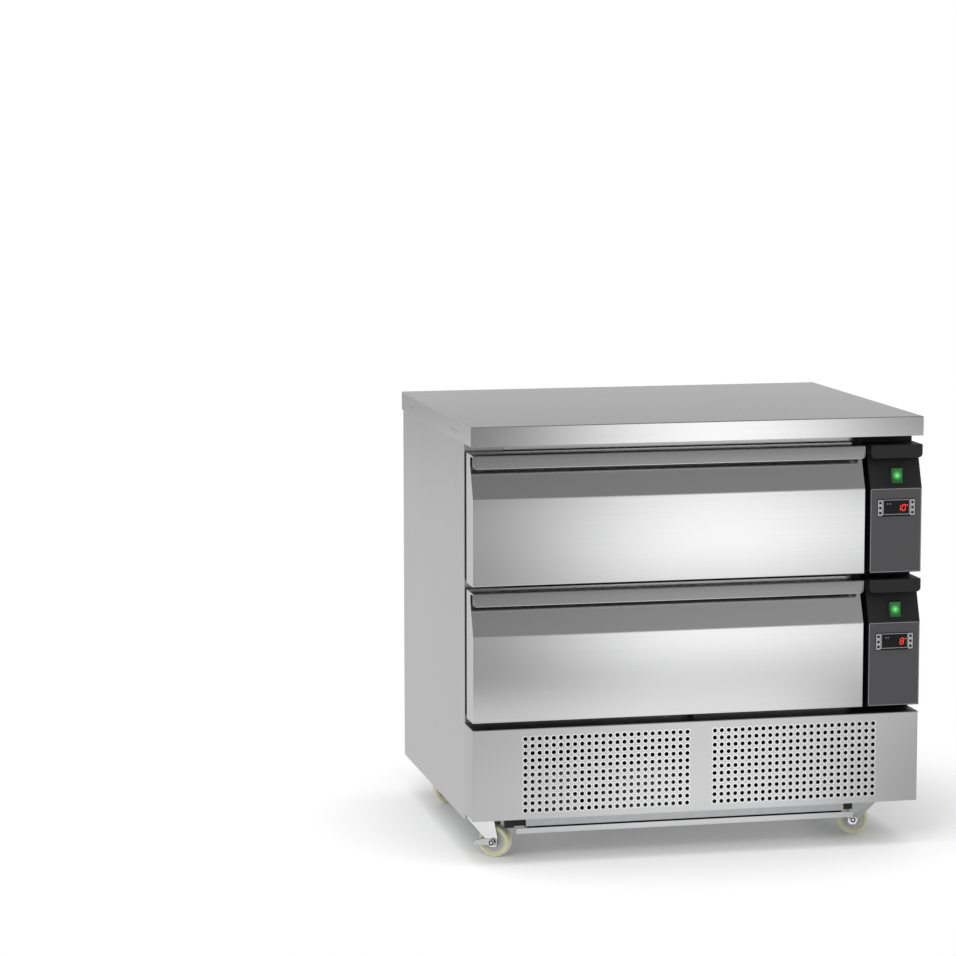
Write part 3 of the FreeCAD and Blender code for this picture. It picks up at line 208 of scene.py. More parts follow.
# %% A node group with named sockets
def new_group(name, inputs, outputs):
    """An empty shader group whose number sockets are named and given their starting values."""
    group = bpy.data.node_groups.new(name, "ShaderNodeTree")
    for label, value in inputs.items():
        kind = "NodeSocketVector" if isinstance(value, tuple) else "NodeSocketFloat"
        socket = group.interface.new_socket(name=label, in_out="INPUT", socket_type=kind)
        socket.default_value = value
    for label, kind in outputs.items():
        group.interface.new_socket(name=label, in_out="OUTPUT", socket_type=kind)
    return group, group.nodes.new("NodeGroupInput"), group.nodes.new("NodeGroupOutput")


def math_node(tree, operation, first, second=None, clamp=False):
    """One sum: each operand is a number or another node's socket."""
    node = tree.nodes.new("ShaderNodeMath")
    node.operation = operation
    node.use_clamp = clamp
    for slot, value in enumerate((first, second)):
        if value is None:
            continue
        if isinstance(value, (int, float)):
            node.inputs[slot].default_value = value
        else:
            tree.links.new(value, node.inputs[slot])
    return node.outputs[0]


# %% Grain: stretched noise
def build_grain():
    """Colour factor 1 - depth * (noise - 0.5), roughness around a middle, height as the noise."""
    group, start, end = new_group(
        "brushed grain",
        {"Stretch": (2.0, 700.0, 700.0), "Depth": 0.12, "Roughness": 0.32, "Spread": 0.12},
        {
            "Factor": "NodeSocketFloat",
            "Roughness": "NodeSocketFloat",
            "Height": "NodeSocketFloat",
        },
    )
    place = group.nodes.new("ShaderNodeTexCoord")
    scaled = group.nodes.new("ShaderNodeVectorMath")
    scaled.operation = "MULTIPLY"
    group.links.new(place.outputs["Object"], scaled.inputs[0])
    group.links.new(start.outputs["Stretch"], scaled.inputs[1])
    noise = group.nodes.new("ShaderNodeTexNoise")
    noise.inputs["Scale"].default_value = 1.0
    noise.inputs["Detail"].default_value = 3.0
    group.links.new(scaled.outputs[0], noise.inputs["Vector"])
    centred = math_node(group, "SUBTRACT", noise.outputs["Fac"], 0.5)
    shade = math_node(group, "MULTIPLY", centred, start.outputs["Depth"])
    group.links.new(math_node(group, "SUBTRACT", 1.0, shade), end.inputs["Factor"])
    wide = math_node(group, "MULTIPLY", centred, start.outputs["Spread"])
    rough = math_node(group, "ADD", wide, start.outputs["Roughness"], clamp=True)
    group.links.new(rough, end.inputs["Roughness"])
    group.links.new(noise.outputs["Fac"], end.inputs["Height"])
    return group


def build_clouds():
    """A soft noise in all directions, kept between two factors close to 1."""
    group, start, end = new_group(
        "handled clouds",
        {"Size": 9.0, "Depth": 0.06},
        {"Factor": "NodeSocketFloat", "Height": "NodeSocketFloat"},
    )
    place = group.nodes.new("ShaderNodeTexCoord")
    noise = group.nodes.new("ShaderNodeTexNoise")
    noise.inputs["Detail"].default_value = 4.0
    group.links.new(place.outputs["Object"], noise.inputs["Vector"])
    group.links.new(start.outputs["Size"], noise.inputs["Scale"])
    centred = math_node(group, "SUBTRACT", noise.outputs["Fac"], 0.5)
    shade = math_node(group, "MULTIPLY", centred, start.outputs["Depth"])
    group.links.new(math_node(group, "SUBTRACT", 1.0, shade), end.inputs["Factor"])
    group.links.new(noise.outputs["Fac"], end.inputs["Height"])
    return group


GRAIN = build_grain()
CLOUDS = build_clouds()
print("groups", GRAIN.name, CLOUDS.name)


# %% [markdown]
# ## Finishes
# The steel is one alloy, but its grain runs along the length of each folded sheet, so the same
# recipe is used with the stretch along X, Y or Z. Plastics and rubber use the clouds and a fine
# bump instead. Most colours are the ones that the surfaces have in plain light. The darker lip
# and flange steels and the dark zinc of the nut sides are painted shade, and the near-white rim
# steel and nut ends are painted highlights.

# %% Steel with a grain direction
def scaled_colour(tree, colour, factor):
    """The colour with each channel multiplied by a factor that changes over the surface."""
    mix = tree.nodes.new("ShaderNodeVectorMath")
    mix.operation = "SCALE"
    mix.inputs[0].default_value = colour
    tree.links.new(factor, mix.inputs["Scale"])
    return mix.outputs[0]


def new_material(name):
    """A material with its shader, and nothing else in it yet."""
    material = bpy.data.materials.new(name)
    material.use_nodes = True
    return material, material.node_tree, material.node_tree.nodes["Principled BSDF"]


def use_group(tree, group, values):
    """Places a group and sets its own values."""
    node = tree.nodes.new("ShaderNodeGroup")
    node.node_tree = group
    for label, value in values.items():
        node.inputs[label].default_value = value
    return node


def add_bump(tree, shader, height, distance, strength=1.0):
    """Feeds a height to the shader's normal, as a bump of so many metres."""
    bump = tree.nodes.new("ShaderNodeBump")
    bump.inputs["Distance"].default_value = distance
    bump.inputs["Strength"].default_value = strength
    tree.links.new(height, bump.inputs["Height"])
    tree.links.new(bump.outputs["Normal"], shader.inputs["Normal"])


def brushed_steel(name, colour, grain_axis, roughness=0.32, depth=0.12, fine=700.0):
    """Metal whose noise is long along the grain axis and fine across it."""
    material, tree, shader = new_material(name)
    shader.inputs["Metallic"].default_value = 1.0
    stretch = [fine] * 3
    stretch[grain_axis] = 2.0
    grain = use_group(
        tree,
        GRAIN,
        {"Stretch": tuple(stretch), "Depth": depth, "Roughness": roughness, "Spread": 0.05},
    )
    clouds = use_group(tree, CLOUDS, {"Size": 3.0, "Depth": 0.06})
    factor = math_node(tree, "MULTIPLY", grain.outputs["Factor"], clouds.outputs["Factor"])
    tree.links.new(scaled_colour(tree, colour, factor), shader.inputs["Base Color"])
    tree.links.new(grain.outputs["Roughness"], shader.inputs["Roughness"])
    add_bump(tree, shader, grain.outputs["Height"], 0.00002, 0.5)
    return material


STEEL_COLOUR = (0.56, 0.56, 0.564)
steel_along = brushed_steel("brushed steel, grain across", STEEL_COLOUR, 0, 0.17, 0.06)
# Painted shade: the lip's front gets this darker copy of the steel.
lip_shade_steel = brushed_steel("brushed steel, lip with painted shade", (0.30, 0.30, 0.302), 0, 0.36)
steel_upright = brushed_steel("brushed steel, grain upright", STEEL_COLOUR, 2, 0.30, 0.10)
steel_deep = brushed_steel("brushed steel, grain from front to back", STEEL_COLOUR, 1)
steel_panel = brushed_steel("brushed steel, base panel", STEEL_COLOUR, 0, 0.32, 0.05)
# Painted shade: the base panel's top flange gets this darker copy of the steel on its upward face.
steel_shade = brushed_steel("brushed steel, shaded flange", (0.12, 0.12, 0.121), 0, 0.4)
# Painted highlight: the rims round the holes get this near-white copy of the steel.
rim_highlight_steel = brushed_steel("steel rim with painted highlight", (0.93, 0.93, 0.93), 0, 0.34, 0.04)
steel_inside = brushed_steel("drawn steel", (0.55, 0.55, 0.56), 0, 0.26, 0.05, 300.0)
print("steel finishes made")


# %% Zinc plate, plastics, rubber, foam and paint
def cloudy(name, colour, roughness, size, depth, bump=0.0, metallic=0.0, coat=0.0, shine=0.5):
    """A plain finish whose colour, roughness and height follow the clouds."""
    material, tree, shader = new_material(name)
    shader.inputs["Metallic"].default_value = metallic
    shader.inputs["Specular IOR Level"].default_value = shine
    shader.inputs["Coat Weight"].default_value = coat
    clouds = use_group(tree, CLOUDS, {"Size": size, "Depth": depth})
    tree.links.new(scaled_colour(tree, colour, clouds.outputs["Factor"]), shader.inputs["Base Color"])
    softened = math_node(tree, "MULTIPLY", clouds.outputs["Factor"], roughness, clamp=True)
    tree.links.new(softened, shader.inputs["Roughness"])
    if bump:
        add_bump(tree, shader, clouds.outputs["Height"], bump)
    return material


zinc = cloudy("zinc plate", (0.50, 0.51, 0.52), 0.22, 25.0, 0.14, metallic=1.0)
fork_zinc = cloudy("dull zinc of the forks", (0.45, 0.455, 0.46), 0.42, 25.0, 0.14, metallic=1.0)
pedal_zinc = cloudy("worn zinc plate", (0.66, 0.66, 0.67), 0.2, 40.0, 0.2, metallic=1.0)
# Painted highlight and shade for the nuts: zinc made near white for the nut ends and near black for their
# sides and the rings round them.
nut_highlight_zinc = cloudy("zinc with painted highlight", (0.93, 0.93, 0.94), 0.2, 60.0, 0.1, metallic=1.0)
nut_shade_zinc = cloudy("zinc with painted shade", (0.07, 0.07, 0.075), 0.4, 60.0, 0.2, metallic=1.0)
galvanised = cloudy("galvanised sheet", (0.48, 0.49, 0.50), 0.42, 45.0, 0.45, metallic=1.0)
black_plastic = cloudy(
    "black moulded plastic", (0.009, 0.009, 0.010), 0.5, 900.0, 0.3, 0.00003, shine=0.35
)
black_back = cloudy("black panel back", (0.02, 0.02, 0.021), 0.5, 500.0, 0.3, 0.00003)
grey_foil = cloudy("dark grey foil", (0.056, 0.056, 0.059), 0.5, 1200.0, 0.2, 0.00001, shine=0.4)
foil_border = cloudy("light foil border", (0.33, 0.33, 0.34), 0.4, 800.0, 0.15)
display_black = cloudy("smoked display window", (0.004, 0.004, 0.005), 0.4, 300.0, 0.1, shine=0.2)
key_grey = cloudy("printed keys", (0.33, 0.33, 0.34), 0.45, 700.0, 0.1)
seal_rubber = cloudy("grey door seal", (0.05, 0.05, 0.052), 0.62, 250.0, 0.4, 0.00005)
foam_yellow = cloudy("insulating foam", (0.70, 0.58, 0.30), 0.85, 120.0, 0.5, 0.0004)
board_grey = cloudy("sealed core board", (0.05, 0.05, 0.05), 0.8, 90.0, 0.6, 0.0002)
wheel_cream = cloudy("cream wheel nylon", (0.62, 0.62, 0.43), 0.38, 40.0, 0.14, 0.00004, coat=0.15)
hub_grey = cloudy("grey wheel hub", (0.41, 0.41, 0.43), 0.42, 90.0, 0.2, 0.00003)
pot_paint = cloudy("black paint", (0.018, 0.018, 0.019), 0.35, 200.0, 0.35, 0.0001, coat=0.25)
fan_plastic = cloudy("fan plastic", (0.035, 0.035, 0.038), 0.45, 300.0, 0.3, 0.00004)
fin_metal = cloudy("thin aluminium fins", (0.66, 0.67, 0.68), 0.36, 150.0, 0.4, metallic=1.0)
# Near-black fins and dark tubes: partly the condenser's own black paint, partly painted shade that keeps
# the holes dark.
black_fins = cloudy("black coated fins", (0.03, 0.03, 0.032), 0.5, 150.0, 0.4)
dark_copper = cloudy("lacquered copper tube", (0.10, 0.05, 0.03), 0.4, 120.0, 0.3, metallic=1.0)
print("other finishes made")


# %% Lit finishes
def lit(name, colour, glow, strength, roughness, spots=(), radius=0.01):
    """A lens lit from below: all over, or as (1 - distance / radius) squared round its spots."""
    material, tree, shader = new_material(name)
    clouds = use_group(tree, CLOUDS, {"Size": 60.0, "Depth": 0.25})
    factor = clouds.outputs["Factor"]
    tree.links.new(scaled_colour(tree, colour, factor), shader.inputs["Base Color"])
    if spots:
        place = tree.nodes.new("ShaderNodeTexCoord")
        share = 0.05
        for spot in spots:
            away = tree.nodes.new("ShaderNodeVectorMath")
            away.operation = "DISTANCE"
            away.inputs[1].default_value = spot
            tree.links.new(place.outputs["Object"], away.inputs[0])
            near = math_node(tree, "DIVIDE", away.outputs["Value"], radius)
            inside = math_node(tree, "SUBTRACT", 1.0, near, clamp=True)
            share = math_node(tree, "ADD", share, math_node(tree, "POWER", inside, 2.0))
        factor = math_node(tree, "MULTIPLY", factor, share)
    tree.links.new(scaled_colour(tree, glow, factor), shader.inputs["Emission Color"])
    shader.inputs["Emission Strength"].default_value = strength
    shader.inputs["Roughness"].default_value = roughness
    return material


digit_red = lit("red digits", (0.6, 0.02, 0.01), (1.0, 0.05, 0.03), 0.9, 0.4)
print("lit finishes made")


# %% [markdown]
# ## Solids that only need their finish
# Hidden and plain parts keep their CAD solids. A softened copy is used where an outer edge
# catches light: the copy is merged, its flat areas are joined again, and a narrow bevel
# rounds every sharp edge, as a press brake does.

# %% Paint a solid, or dress it with a softened copy
def paint(node, material):
    """Gives a CAD solid its finish and leaves its shape alone."""
    mesh = nodes[node].data
    mesh.materials.clear()
    mesh.materials.append(material)


def body_of_node(node):
    """The body that a CAD node belongs to, from the record's own list."""
    behaviour = frame["record"]["behaviour"]
    return next(name for name, held in behaviour["bodies"].items() if node in held)


def softened(node, material, width, segments=2):
    """A merged copy of a solid whose edges are rounded by a bevel of that width in mm."""
    import bmesh

    mesh = nodes[node].data.copy()
    mesh.name = node + " softened"
    work = bmesh.new()
    work.from_mesh(mesh)
    bmesh.ops.remove_doubles(work, verts=work.verts, dist=2e-6)
    bmesh.ops.dissolve_limit(
        work, angle_limit=math.radians(1.0), verts=work.verts, edges=work.edges
    )
    work.to_mesh(mesh)
    work.free()
    mesh.materials.clear()
    mesh.materials.append(material)
    piece = bpy.data.objects.new(node + "_dressed", mesh)
    bpy.context.scene.collection.objects.link(piece)
    bevel = piece.modifiers.new("edge", "BEVEL")
    bevel.width = width * MM
    bevel.segments = segments
    bevel.limit_method = "ANGLE"
    bevel.angle_limit = math.radians(30)
    bevel.use_clamp_overlap = True
    bevel.harden_normals = True
    mesh.polygons.foreach_set("use_smooth", np.ones(len(mesh.polygons), dtype=bool))
    mesh.set_sharp_from_angle(angle=math.radians(30))
    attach(piece, body_of_node(node))
    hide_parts(node)
    return piece


# %% Plain solids
PLAIN = {
    "worktop_core": board_grey,
    "insulation": foam_yellow,
    "liner_lower": steel_inside,
    "liner_upper": steel_inside,
    "evaporators": fin_metal,
    "rear_panel": galvanised,
    "chassis_pan": galvanised,
    "tray_guides": black_plastic,
    "castor_bolts": zinc,
    "castor_plates": zinc,
    "cable_gland": black_plastic,
    "fixing_screws": pot_paint,
    "fan_motor": pot_paint,
    "control_housing": black_plastic,
}
for level in ("lower", "upper"):
    PLAIN[f"drawer_panel_{level}"] = black_back
    PLAIN[f"gasket_{level}"] = seal_rubber
    PLAIN[f"drawer_frame_{level}"] = steel_deep
    for member in ("fixed", "middle", "drawer"):
        PLAIN[f"runner_{member}_{level}"] = zinc
for node, material in PLAIN.items():
    paint(node, material)
print(len(PLAIN), "solids painted")

# %% Solids with softened edges
SOFTENED = {
    "side_panel_left": (steel_upright, 0.5),
    "side_panel_right": (steel_upright, 0.5),
    "front_frame": (steel_along, 0.5),
    "drip_tray": (steel_along, 0.4),
    "fascia_lower": (black_plastic, 0.9),
    "fascia_upper": (black_plastic, 0.9),
    "switch_case_lower": (black_plastic, 0.4),
    "switch_case_upper": (black_plastic, 0.4),
}
for corner in ("front_left", "front_right", "rear_left", "rear_right"):
    SOFTENED[f"castor_fork_{corner}"] = (fork_zinc, 0.6)
for corner in ("front_left", "front_right"):
    SOFTENED[f"brake_pedal_{corner}"] = (pedal_zinc, 0.5)
for node, (material, width) in SOFTENED.items():
    softened(node, material, width)
print(len(SOFTENED), "solids softened")

# %% [markdown]
# ## Worktop
# The top is one sheet folded down at all four sides. On its left skirt, four small round
# dimples show where the board inside is held. A bump gives them their hollow, so the finish
# measures the distance to each dimple's middle and lowers the surface there. It also darkens
# the colour there as painted shade.

# %% Worktop finish with its dimples
def with_dimples(material, spots, radius):
    """A soft hollow and painted shade at each spot: one minus its distance over the radius."""
    tree = material.node_tree
    shader = tree.nodes["Principled BSDF"]
    place = tree.nodes.new("ShaderNodeTexCoord")
    hollow = None
    for spot in spots:
        away = tree.nodes.new("ShaderNodeVectorMath")
        away.operation = "DISTANCE"
        away.inputs[1].default_value = spot
        tree.links.new(place.outputs["Object"], away.inputs[0])
        share = math_node(tree, "DIVIDE", away.outputs["Value"], radius)
        depth = math_node(tree, "SUBTRACT", 1.0, share, clamp=True)
        hollow = depth if hollow is None else math_node(tree, "ADD", hollow, depth)
    # Painted shade: the grain's colour factor is lowered in each dimple.
    painted_dimple_shade = math_node(tree, "SUBTRACT", 1.0, math_node(tree, "MULTIPLY", hollow, 0.85))
    coloured = shader.inputs["Base Color"].links[0].from_node
    grain_factor = coloured.inputs["Scale"].links[0].from_socket
    darker = math_node(tree, "MULTIPLY", grain_factor, painted_dimple_shade)
    tree.links.new(darker, coloured.inputs["Scale"])
    bump = tree.nodes.new("ShaderNodeBump")
    bump.inputs["Distance"].default_value = 0.0005
    tree.links.new(math_node(tree, "MULTIPLY", hollow, -1.0), bump.inputs["Height"])
    first = shader.inputs["Normal"].links[0].from_node
    tree.links.new(first.outputs["Normal"], bump.inputs["Normal"])
    tree.links.new(bump.outputs["Normal"], shader.inputs["Normal"])
    return material


steel_worktop = brushed_steel("brushed steel, worktop", STEEL_COLOUR, 0, 0.27, 0.08)
steel_skirt = brushed_steel("brushed steel, skirt", STEEL_COLOUR, 0, 0.13, 0.05)
dimple_places = [
    tuple(metres([(-450, depth, 830)])[0]) for depth in (137, 169, 575, 600)
]
with_dimples(steel_skirt, dimple_places, 0.006)
worktop = softened("worktop", steel_worktop, 0.6)
worktop.data.materials.append(steel_skirt)
for face in worktop.data.polygons:
    face.material_index = int(abs(face.normal.z) < 0.5)
print("worktop with", len(dimple_places), "dimples")

# %% [markdown]
# ## Drawer fronts
# A drawer front is one pressed skin. Its flat face leans back near the top, and a lip hangs
# in front of that slope, so that fingers reach under it from any place along the drawer.
# The section is an outline with rounded bends, pulled along the width. The lip's two lower
# corners are rounded by lifting the ends of its edge along a quarter circle.

# %% Section of a front
DRAWER_FLOOR = {"lower": 280, "upper": 544}
DRAWER_LEFT, DRAWER_RIGHT = -446, 332
FRONT_BACK = 59.9
FRONT_TALL = 251
LIP_LOW = 225
LIP_CORNER = 8


def front_section():
    """Corners of the skin as (depth, height), each with the radius of its bend."""
    corners = [
        (FRONT_BACK, 0),
        (0, 0),
        (0, 166.5),
        (26, 231),
        (26, 248),
        (3, 248),
        (3, LIP_LOW),
        (0, LIP_LOW),
        (0, FRONT_TALL),
        (FRONT_BACK, FRONT_TALL),
    ]
    radii = [0, 2, 9, 4, 2, 1, 1.2, 1.2, 2.4, 0]
    return rounded_outline(corners, radii, 6)


def along_width(left, right):
    """Stations along the width, close together at both ends where the lip's corners are."""
    near = np.array([0, 0.4, 1.2, 2.4, 4, 6, 8])
    middle = np.linspace(left + LIP_CORNER, right - LIP_CORNER, 9)[1:-1]
    return np.concatenate([left + near, middle, (right - near)[::-1]])


def make_front(level):
    """The section at every station, with the lip's edge lifted near the two ends."""
    section = front_section()
    stations = along_width(DRAWER_LEFT, DRAWER_RIGHT)
    floor = DRAWER_FLOOR[level]
    outline = section + np.array([0, floor])
    piece = pulled(
        f"drawer_front_{level}_skin",
        outline,
        stations,
        0,
        f"drawer_{level}",
        steel_along,
        [f"drawer_front_{level}"],
    )
    mesh = piece.data
    flat = np.empty(len(mesh.vertices) * 3, dtype=np.float32)
    mesh.vertices.foreach_get("co", flat)
    points = flat.reshape(-1, 3)
    across = points[:, 0] / MM
    depth = points[:, 1] / MM + HALF_DEPTH
    height = points[:, 2] / MM - floor
    to_end = np.minimum(across - DRAWER_LEFT, DRAWER_RIGHT - across)
    inside = np.clip(LIP_CORNER - to_end, 0, LIP_CORNER)
    lift = LIP_CORNER - np.sqrt(LIP_CORNER**2 - inside**2)
    on_lip = (depth < 3.2) & (height > LIP_LOW - 1) & (height < LIP_LOW + 12)
    raised = np.maximum(height, LIP_LOW + lift)
    points[:, 2] = np.where(on_lip, raised + floor, height + floor) * MM
    mesh.vertices.foreach_set("co", points.reshape(-1))
    mesh.update()
    middles = np.empty(len(mesh.polygons) * 3, dtype=np.float32)
    mesh.polygons.foreach_get("center", middles)
    middles = middles.reshape(-1, 3) / MM
    # Painted shade: the lip's front faces get the darker lip steel.
    painted_lip_shade_faces = (middles[:, 1] + HALF_DEPTH < 0.4) & (middles[:, 2] - floor > LIP_LOW + 1.5)
    mesh.materials.append(lip_shade_steel)
    mesh.polygons.foreach_set("material_index", painted_lip_shade_faces.astype(np.int32))
    return piece


for level in DRAWER_FLOOR:
    front = make_front(level)
    print(front.name, len(front.data.polygons), "faces")

# %% [markdown]
# ## Drawer tubs
# Each drawer holds a deep-drawn tub. A drawn tub has no sharp corner: its walls meet in wide
# radii and its floor runs into them in a smaller one. It is a stack of rounded rectangles,
# first down the outside to the floor and then up the inside, so that it is one closed skin.

# %% Tub as a stack of loops
TUB_MIDDLE = (-33.5, 335)
TUB_HALF = (325, 265)
TUB_RIM = 8
TUB_DEEP = 150
TUB_SHEET = 1.2


def make_tub(level):
    """Loops from the inner floor up to the rim and down the outside, in one pass."""
    rim_level = DRAWER_FLOOR[level] + 200
    top = rim_level + TUB_SHEET
    bottom = top - TUB_DEEP
    floor_bend = np.linspace(0, math.pi / 2, 5)
    loops = []

    def add(inset, height, radius):
        half = (TUB_HALF[0] - inset, TUB_HALF[1] - inset)
        ring = ring_of_box(TUB_MIDDLE, half, radius, 8)
        loops.append(np.column_stack([ring, np.full(len(ring), height)]))

    for sheet, turn in ((TUB_SHEET, 1), (0.0, -1)):
        inset = TUB_RIM + sheet
        radius = 30 - sheet
        floor_level = bottom + sheet
        bend = 12 - sheet
        steps = [
            (inset + bend * (1 - math.sin(a)), floor_level + bend * (1 - math.cos(a)), radius)
            for a in floor_bend
        ]
        upper = top if turn == 1 else rim_level
        steps.append((inset, upper - 2.0, radius))
        steps.append((inset - 0.6, upper - 0.5, radius + 0.6))
        steps.append((inset - 2.0, upper, radius + 2))
        if turn == 1:
            steps.append((0.4, top, 25))
            steps.append((0.0, rim_level + 0.6, 25))
        else:
            steps.append((0.4, rim_level, 25))
            steps = steps[::-1]
        for step in steps:
            add(*step)
    return stacked(
        f"drawer_tub_{level}_drawn",
        loops,
        f"drawer_{level}",
        steel_inside,
        [f"drawer_tub_{level}"],
    )


for level in DRAWER_FLOOR:
    tub = make_tub(level)
    print(tub.name, len(tub.data.polygons), "faces")

# %% [markdown]
# ## Perforated base panel
# The panel hides the machine space and lets it breathe through two fields of round holes, 24
# across and 11 down. Drilling 528 holes with a boolean would be slow and would leave long thin
# triangles. Instead, the sheet is laid out as a table of cells. A cell in a field is a square
# round a 16-sided hole, and any other cell is one flat face with the same points on its
# border, so that neighbours always meet. A narrow rim round each hole gets a near-white copy
# of the steel: a painted highlight.

# %% Layout of the two fields
PITCH = 14.0
HOLE_RADIUS = 4.3
RIM_RADIUS = 6.0
COLUMNS, ROWS = 24, 11
PANEL_LOW, PANEL_HIGH = 89.0, 267.0
PANEL_HALF = 447.0
SHEET = 1.5
FIELD_STARTS = (-344.0, 33.0)
FIRST_ROW = 106.5
SIDES = 16

edge_values = []
for start in FIELD_STARTS:
    edge_values.append(start - PITCH / 2 + PITCH * np.arange(COLUMNS + 1))
bend = 2.0
column_edges = np.concatenate([[-PANEL_HALF + bend], *edge_values, [PANEL_HALF - bend]])
row_edges = np.concatenate([[PANEL_LOW], FIRST_ROW - PITCH / 2 + PITCH * np.arange(ROWS + 1)])
row_edges = np.concatenate([row_edges, [PANEL_HIGH - bend]])
print(len(column_edges) - 1, "by", len(row_edges) - 1, "cells")


# %% Points and faces of one cell
def cell_border(left, right, low, high):
    """Sixteen points round a cell, four to a side, starting at its lower left corner."""
    share = np.array([0.0, 0.25, 0.5, 0.75])
    xs = left + (right - left) * share
    zs = low + (high - low) * share
    lower = np.column_stack([xs, np.full(4, low)])
    upright = np.column_stack([np.full(4, right), zs])
    upper = np.column_stack([right - (xs - left), np.full(4, high)])
    back = np.column_stack([np.full(4, left), high - (zs - low)])
    return np.concatenate([lower, upright, upper, back])


def round_points(centre, radius):
    """Sixteen points on a circle, starting at its lower left like the cell's border."""
    angle = math.radians(225) + np.arange(SIDES) * 2 * math.pi / SIDES
    return np.column_stack([centre[0] + radius * np.cos(angle), centre[1] + radius * np.sin(angle)])


def in_a_field(left):
    """Whether a cell that starts here lies in one of the two fields."""
    middle = left + PITCH / 2
    return any(s - 1 < middle < s + PITCH * COLUMNS - PITCH + 1 for s in FIELD_STARTS)


def perforated_sheet():
    """Front and back layers of every cell, and the walls of the holes between them."""
    points, faces, bright = [], [], []

    def add_loop(loop, depth):
        first = len(points)
        points.extend((x, depth, z) for x, z in loop)
        return list(range(first, first + len(loop)))

    def bridge(inner, outer):
        count = len(inner)
        return [
            [inner[k], inner[(k + 1) % count], outer[(k + 1) % count], outer[k]]
            for k in range(count)
        ]

    for left, right in zip(column_edges[:-1], column_edges[1:]):
        for row, (low, high) in enumerate(zip(row_edges[:-1], row_edges[1:])):
            border = cell_border(left, right, low, high)
            front = add_loop(border, 0.0)
            back = add_loop(border, SHEET)
            if not (in_a_field(left) and 0 < row <= ROWS and right - left < PITCH + 1):
                faces += [front, back]
                continue
            centre = ((left + right) / 2, (low + high) / 2)
            rim = add_loop(round_points(centre, RIM_RADIUS), 0.0)
            mouth = add_loop(round_points(centre, HOLE_RADIUS), 0.12)
            exit_loop = add_loop(round_points(centre, HOLE_RADIUS), SHEET)
            faces += bridge(rim, front)
            # These rim faces get the near-white steel: a painted highlight round each hole.
            bright += list(range(len(faces), len(faces) + SIDES))
            faces += bridge(mouth, rim)
            faces += bridge(exit_loop, mouth)
            faces += bridge(back, exit_loop)
    return points, faces, bright


def edge_wall(points, faces):
    """Closes the outer edge between the front and back layers all the way round."""
    left, right = column_edges[0], column_edges[-1]
    low, high = row_edges[0], row_edges[-1]
    path = []
    share = np.array([0.0, 0.25, 0.5, 0.75])
    for a, b in zip(column_edges[:-1], column_edges[1:]):
        path += [(a + (b - a) * s, low) for s in share]
    for a, b in zip(row_edges[:-1], row_edges[1:]):
        path += [(right, a + (b - a) * s) for s in share]
    for a, b in zip(column_edges[:0:-1], column_edges[-2::-1]):
        path += [(a + (b - a) * s, high) for s in share]
    for a, b in zip(row_edges[:0:-1], row_edges[-2::-1]):
        path += [(left, a + (b - a) * s) for s in share]
    first = len(points)
    count = len(path)
    points.extend((x, 0.0, z) for x, z in path)
    points.extend((x, SHEET, z) for x, z in path)
    for k in range(count):
        following = (k + 1) % count
        faces.append([first + k, first + following, first + count + following, first + count + k])


# %% The folded edges of the panel
def fold(name, outline, stations, axis):
    """A strip of sheet with its rounded bend, pulled along the edge that it folds."""
    return pulled(name, outline, stations, axis, "cabinet", steel_panel)


def bend_outline(sign):
    """Section of a side fold: round the corner with the sheet's thickness kept."""
    turn = np.linspace(0, math.pi / 2, 6)
    centre = PANEL_HALF - bend
    outer = np.column_stack([centre + bend * np.sin(turn), bend - bend * np.cos(turn)])
    inner_radius = bend - SHEET
    inner = np.column_stack(
        [centre + inner_radius * np.sin(turn), bend - inner_radius * np.cos(turn)]
    )
    outer = np.concatenate([outer, [[PANEL_HALF, 75.9]]])
    inner = np.concatenate([inner, [[PANEL_HALF - SHEET, 75.9]]])
    loop = np.concatenate([outer, inner[::-1]])
    loop[:, 0] *= sign
    return loop


def top_outline():
    """Section of the top fold, as (depth, height)."""
    loop = bend_outline(1)
    return np.column_stack([loop[:, 1], loop[:, 0] - PANEL_HALF + PANEL_HIGH])


sheet_points, sheet_faces, rim_highlight_faces = perforated_sheet()
edge_wall(sheet_points, sheet_faces)
panel = make_object(
    "base_panel_sheet", sheet_points, sheet_faces, "cabinet", steel_panel, ["base_panel"]
)
# Painted highlight: the rim faces get the near-white steel.
panel.data.materials.append(rim_highlight_steel)
material_index = np.zeros(len(panel.data.polygons), dtype=np.int32)
material_index[rim_highlight_faces] = 1
panel.data.polygons.foreach_set("material_index", material_index)
face_outwards(panel)
fold("base_panel_fold_left", bend_outline(-1), [PANEL_LOW, PANEL_HIGH - bend], 2)
fold("base_panel_fold_right", bend_outline(1), [PANEL_LOW, PANEL_HIGH - bend], 2)
top_fold = fold("base_panel_fold_top", top_outline(), [-PANEL_HALF, PANEL_HALF], 0)
# Painted shade: the top fold's upward face gets the dark steel.
top_fold.data.materials.append(steel_shade)
for face in top_fold.data.polygons:
    face.material_index = int(face.normal.z > 0.95)
print(panel.name, len(panel.data.polygons), "faces")

# %% Black blocks at both ends of the well's front, standing in for the shade there
WELL_SHADE_BLOCKS = {
    "left": (-359.0, -334.5, 44, 60),
    "left_outer": (-377.0, -359.2, 30, 43.5),
    "right": (311.0, 329.0, 44, 60),
}
for side, (start, end, near, back) in WELL_SHADE_BLOCKS.items():
    stations = (start, end)
    corners = [(near, 66.6), (near, 88.4), (back, 88.4), (back, 66.6)]
    block = rounded_outline(corners, [0.8] * 4, 3)
    pulled(f"well_shade_block_{side}", block, list(stations), 0, "cabinet", black_plastic)
print(len(WELL_SHADE_BLOCKS), "blocks beside the well")

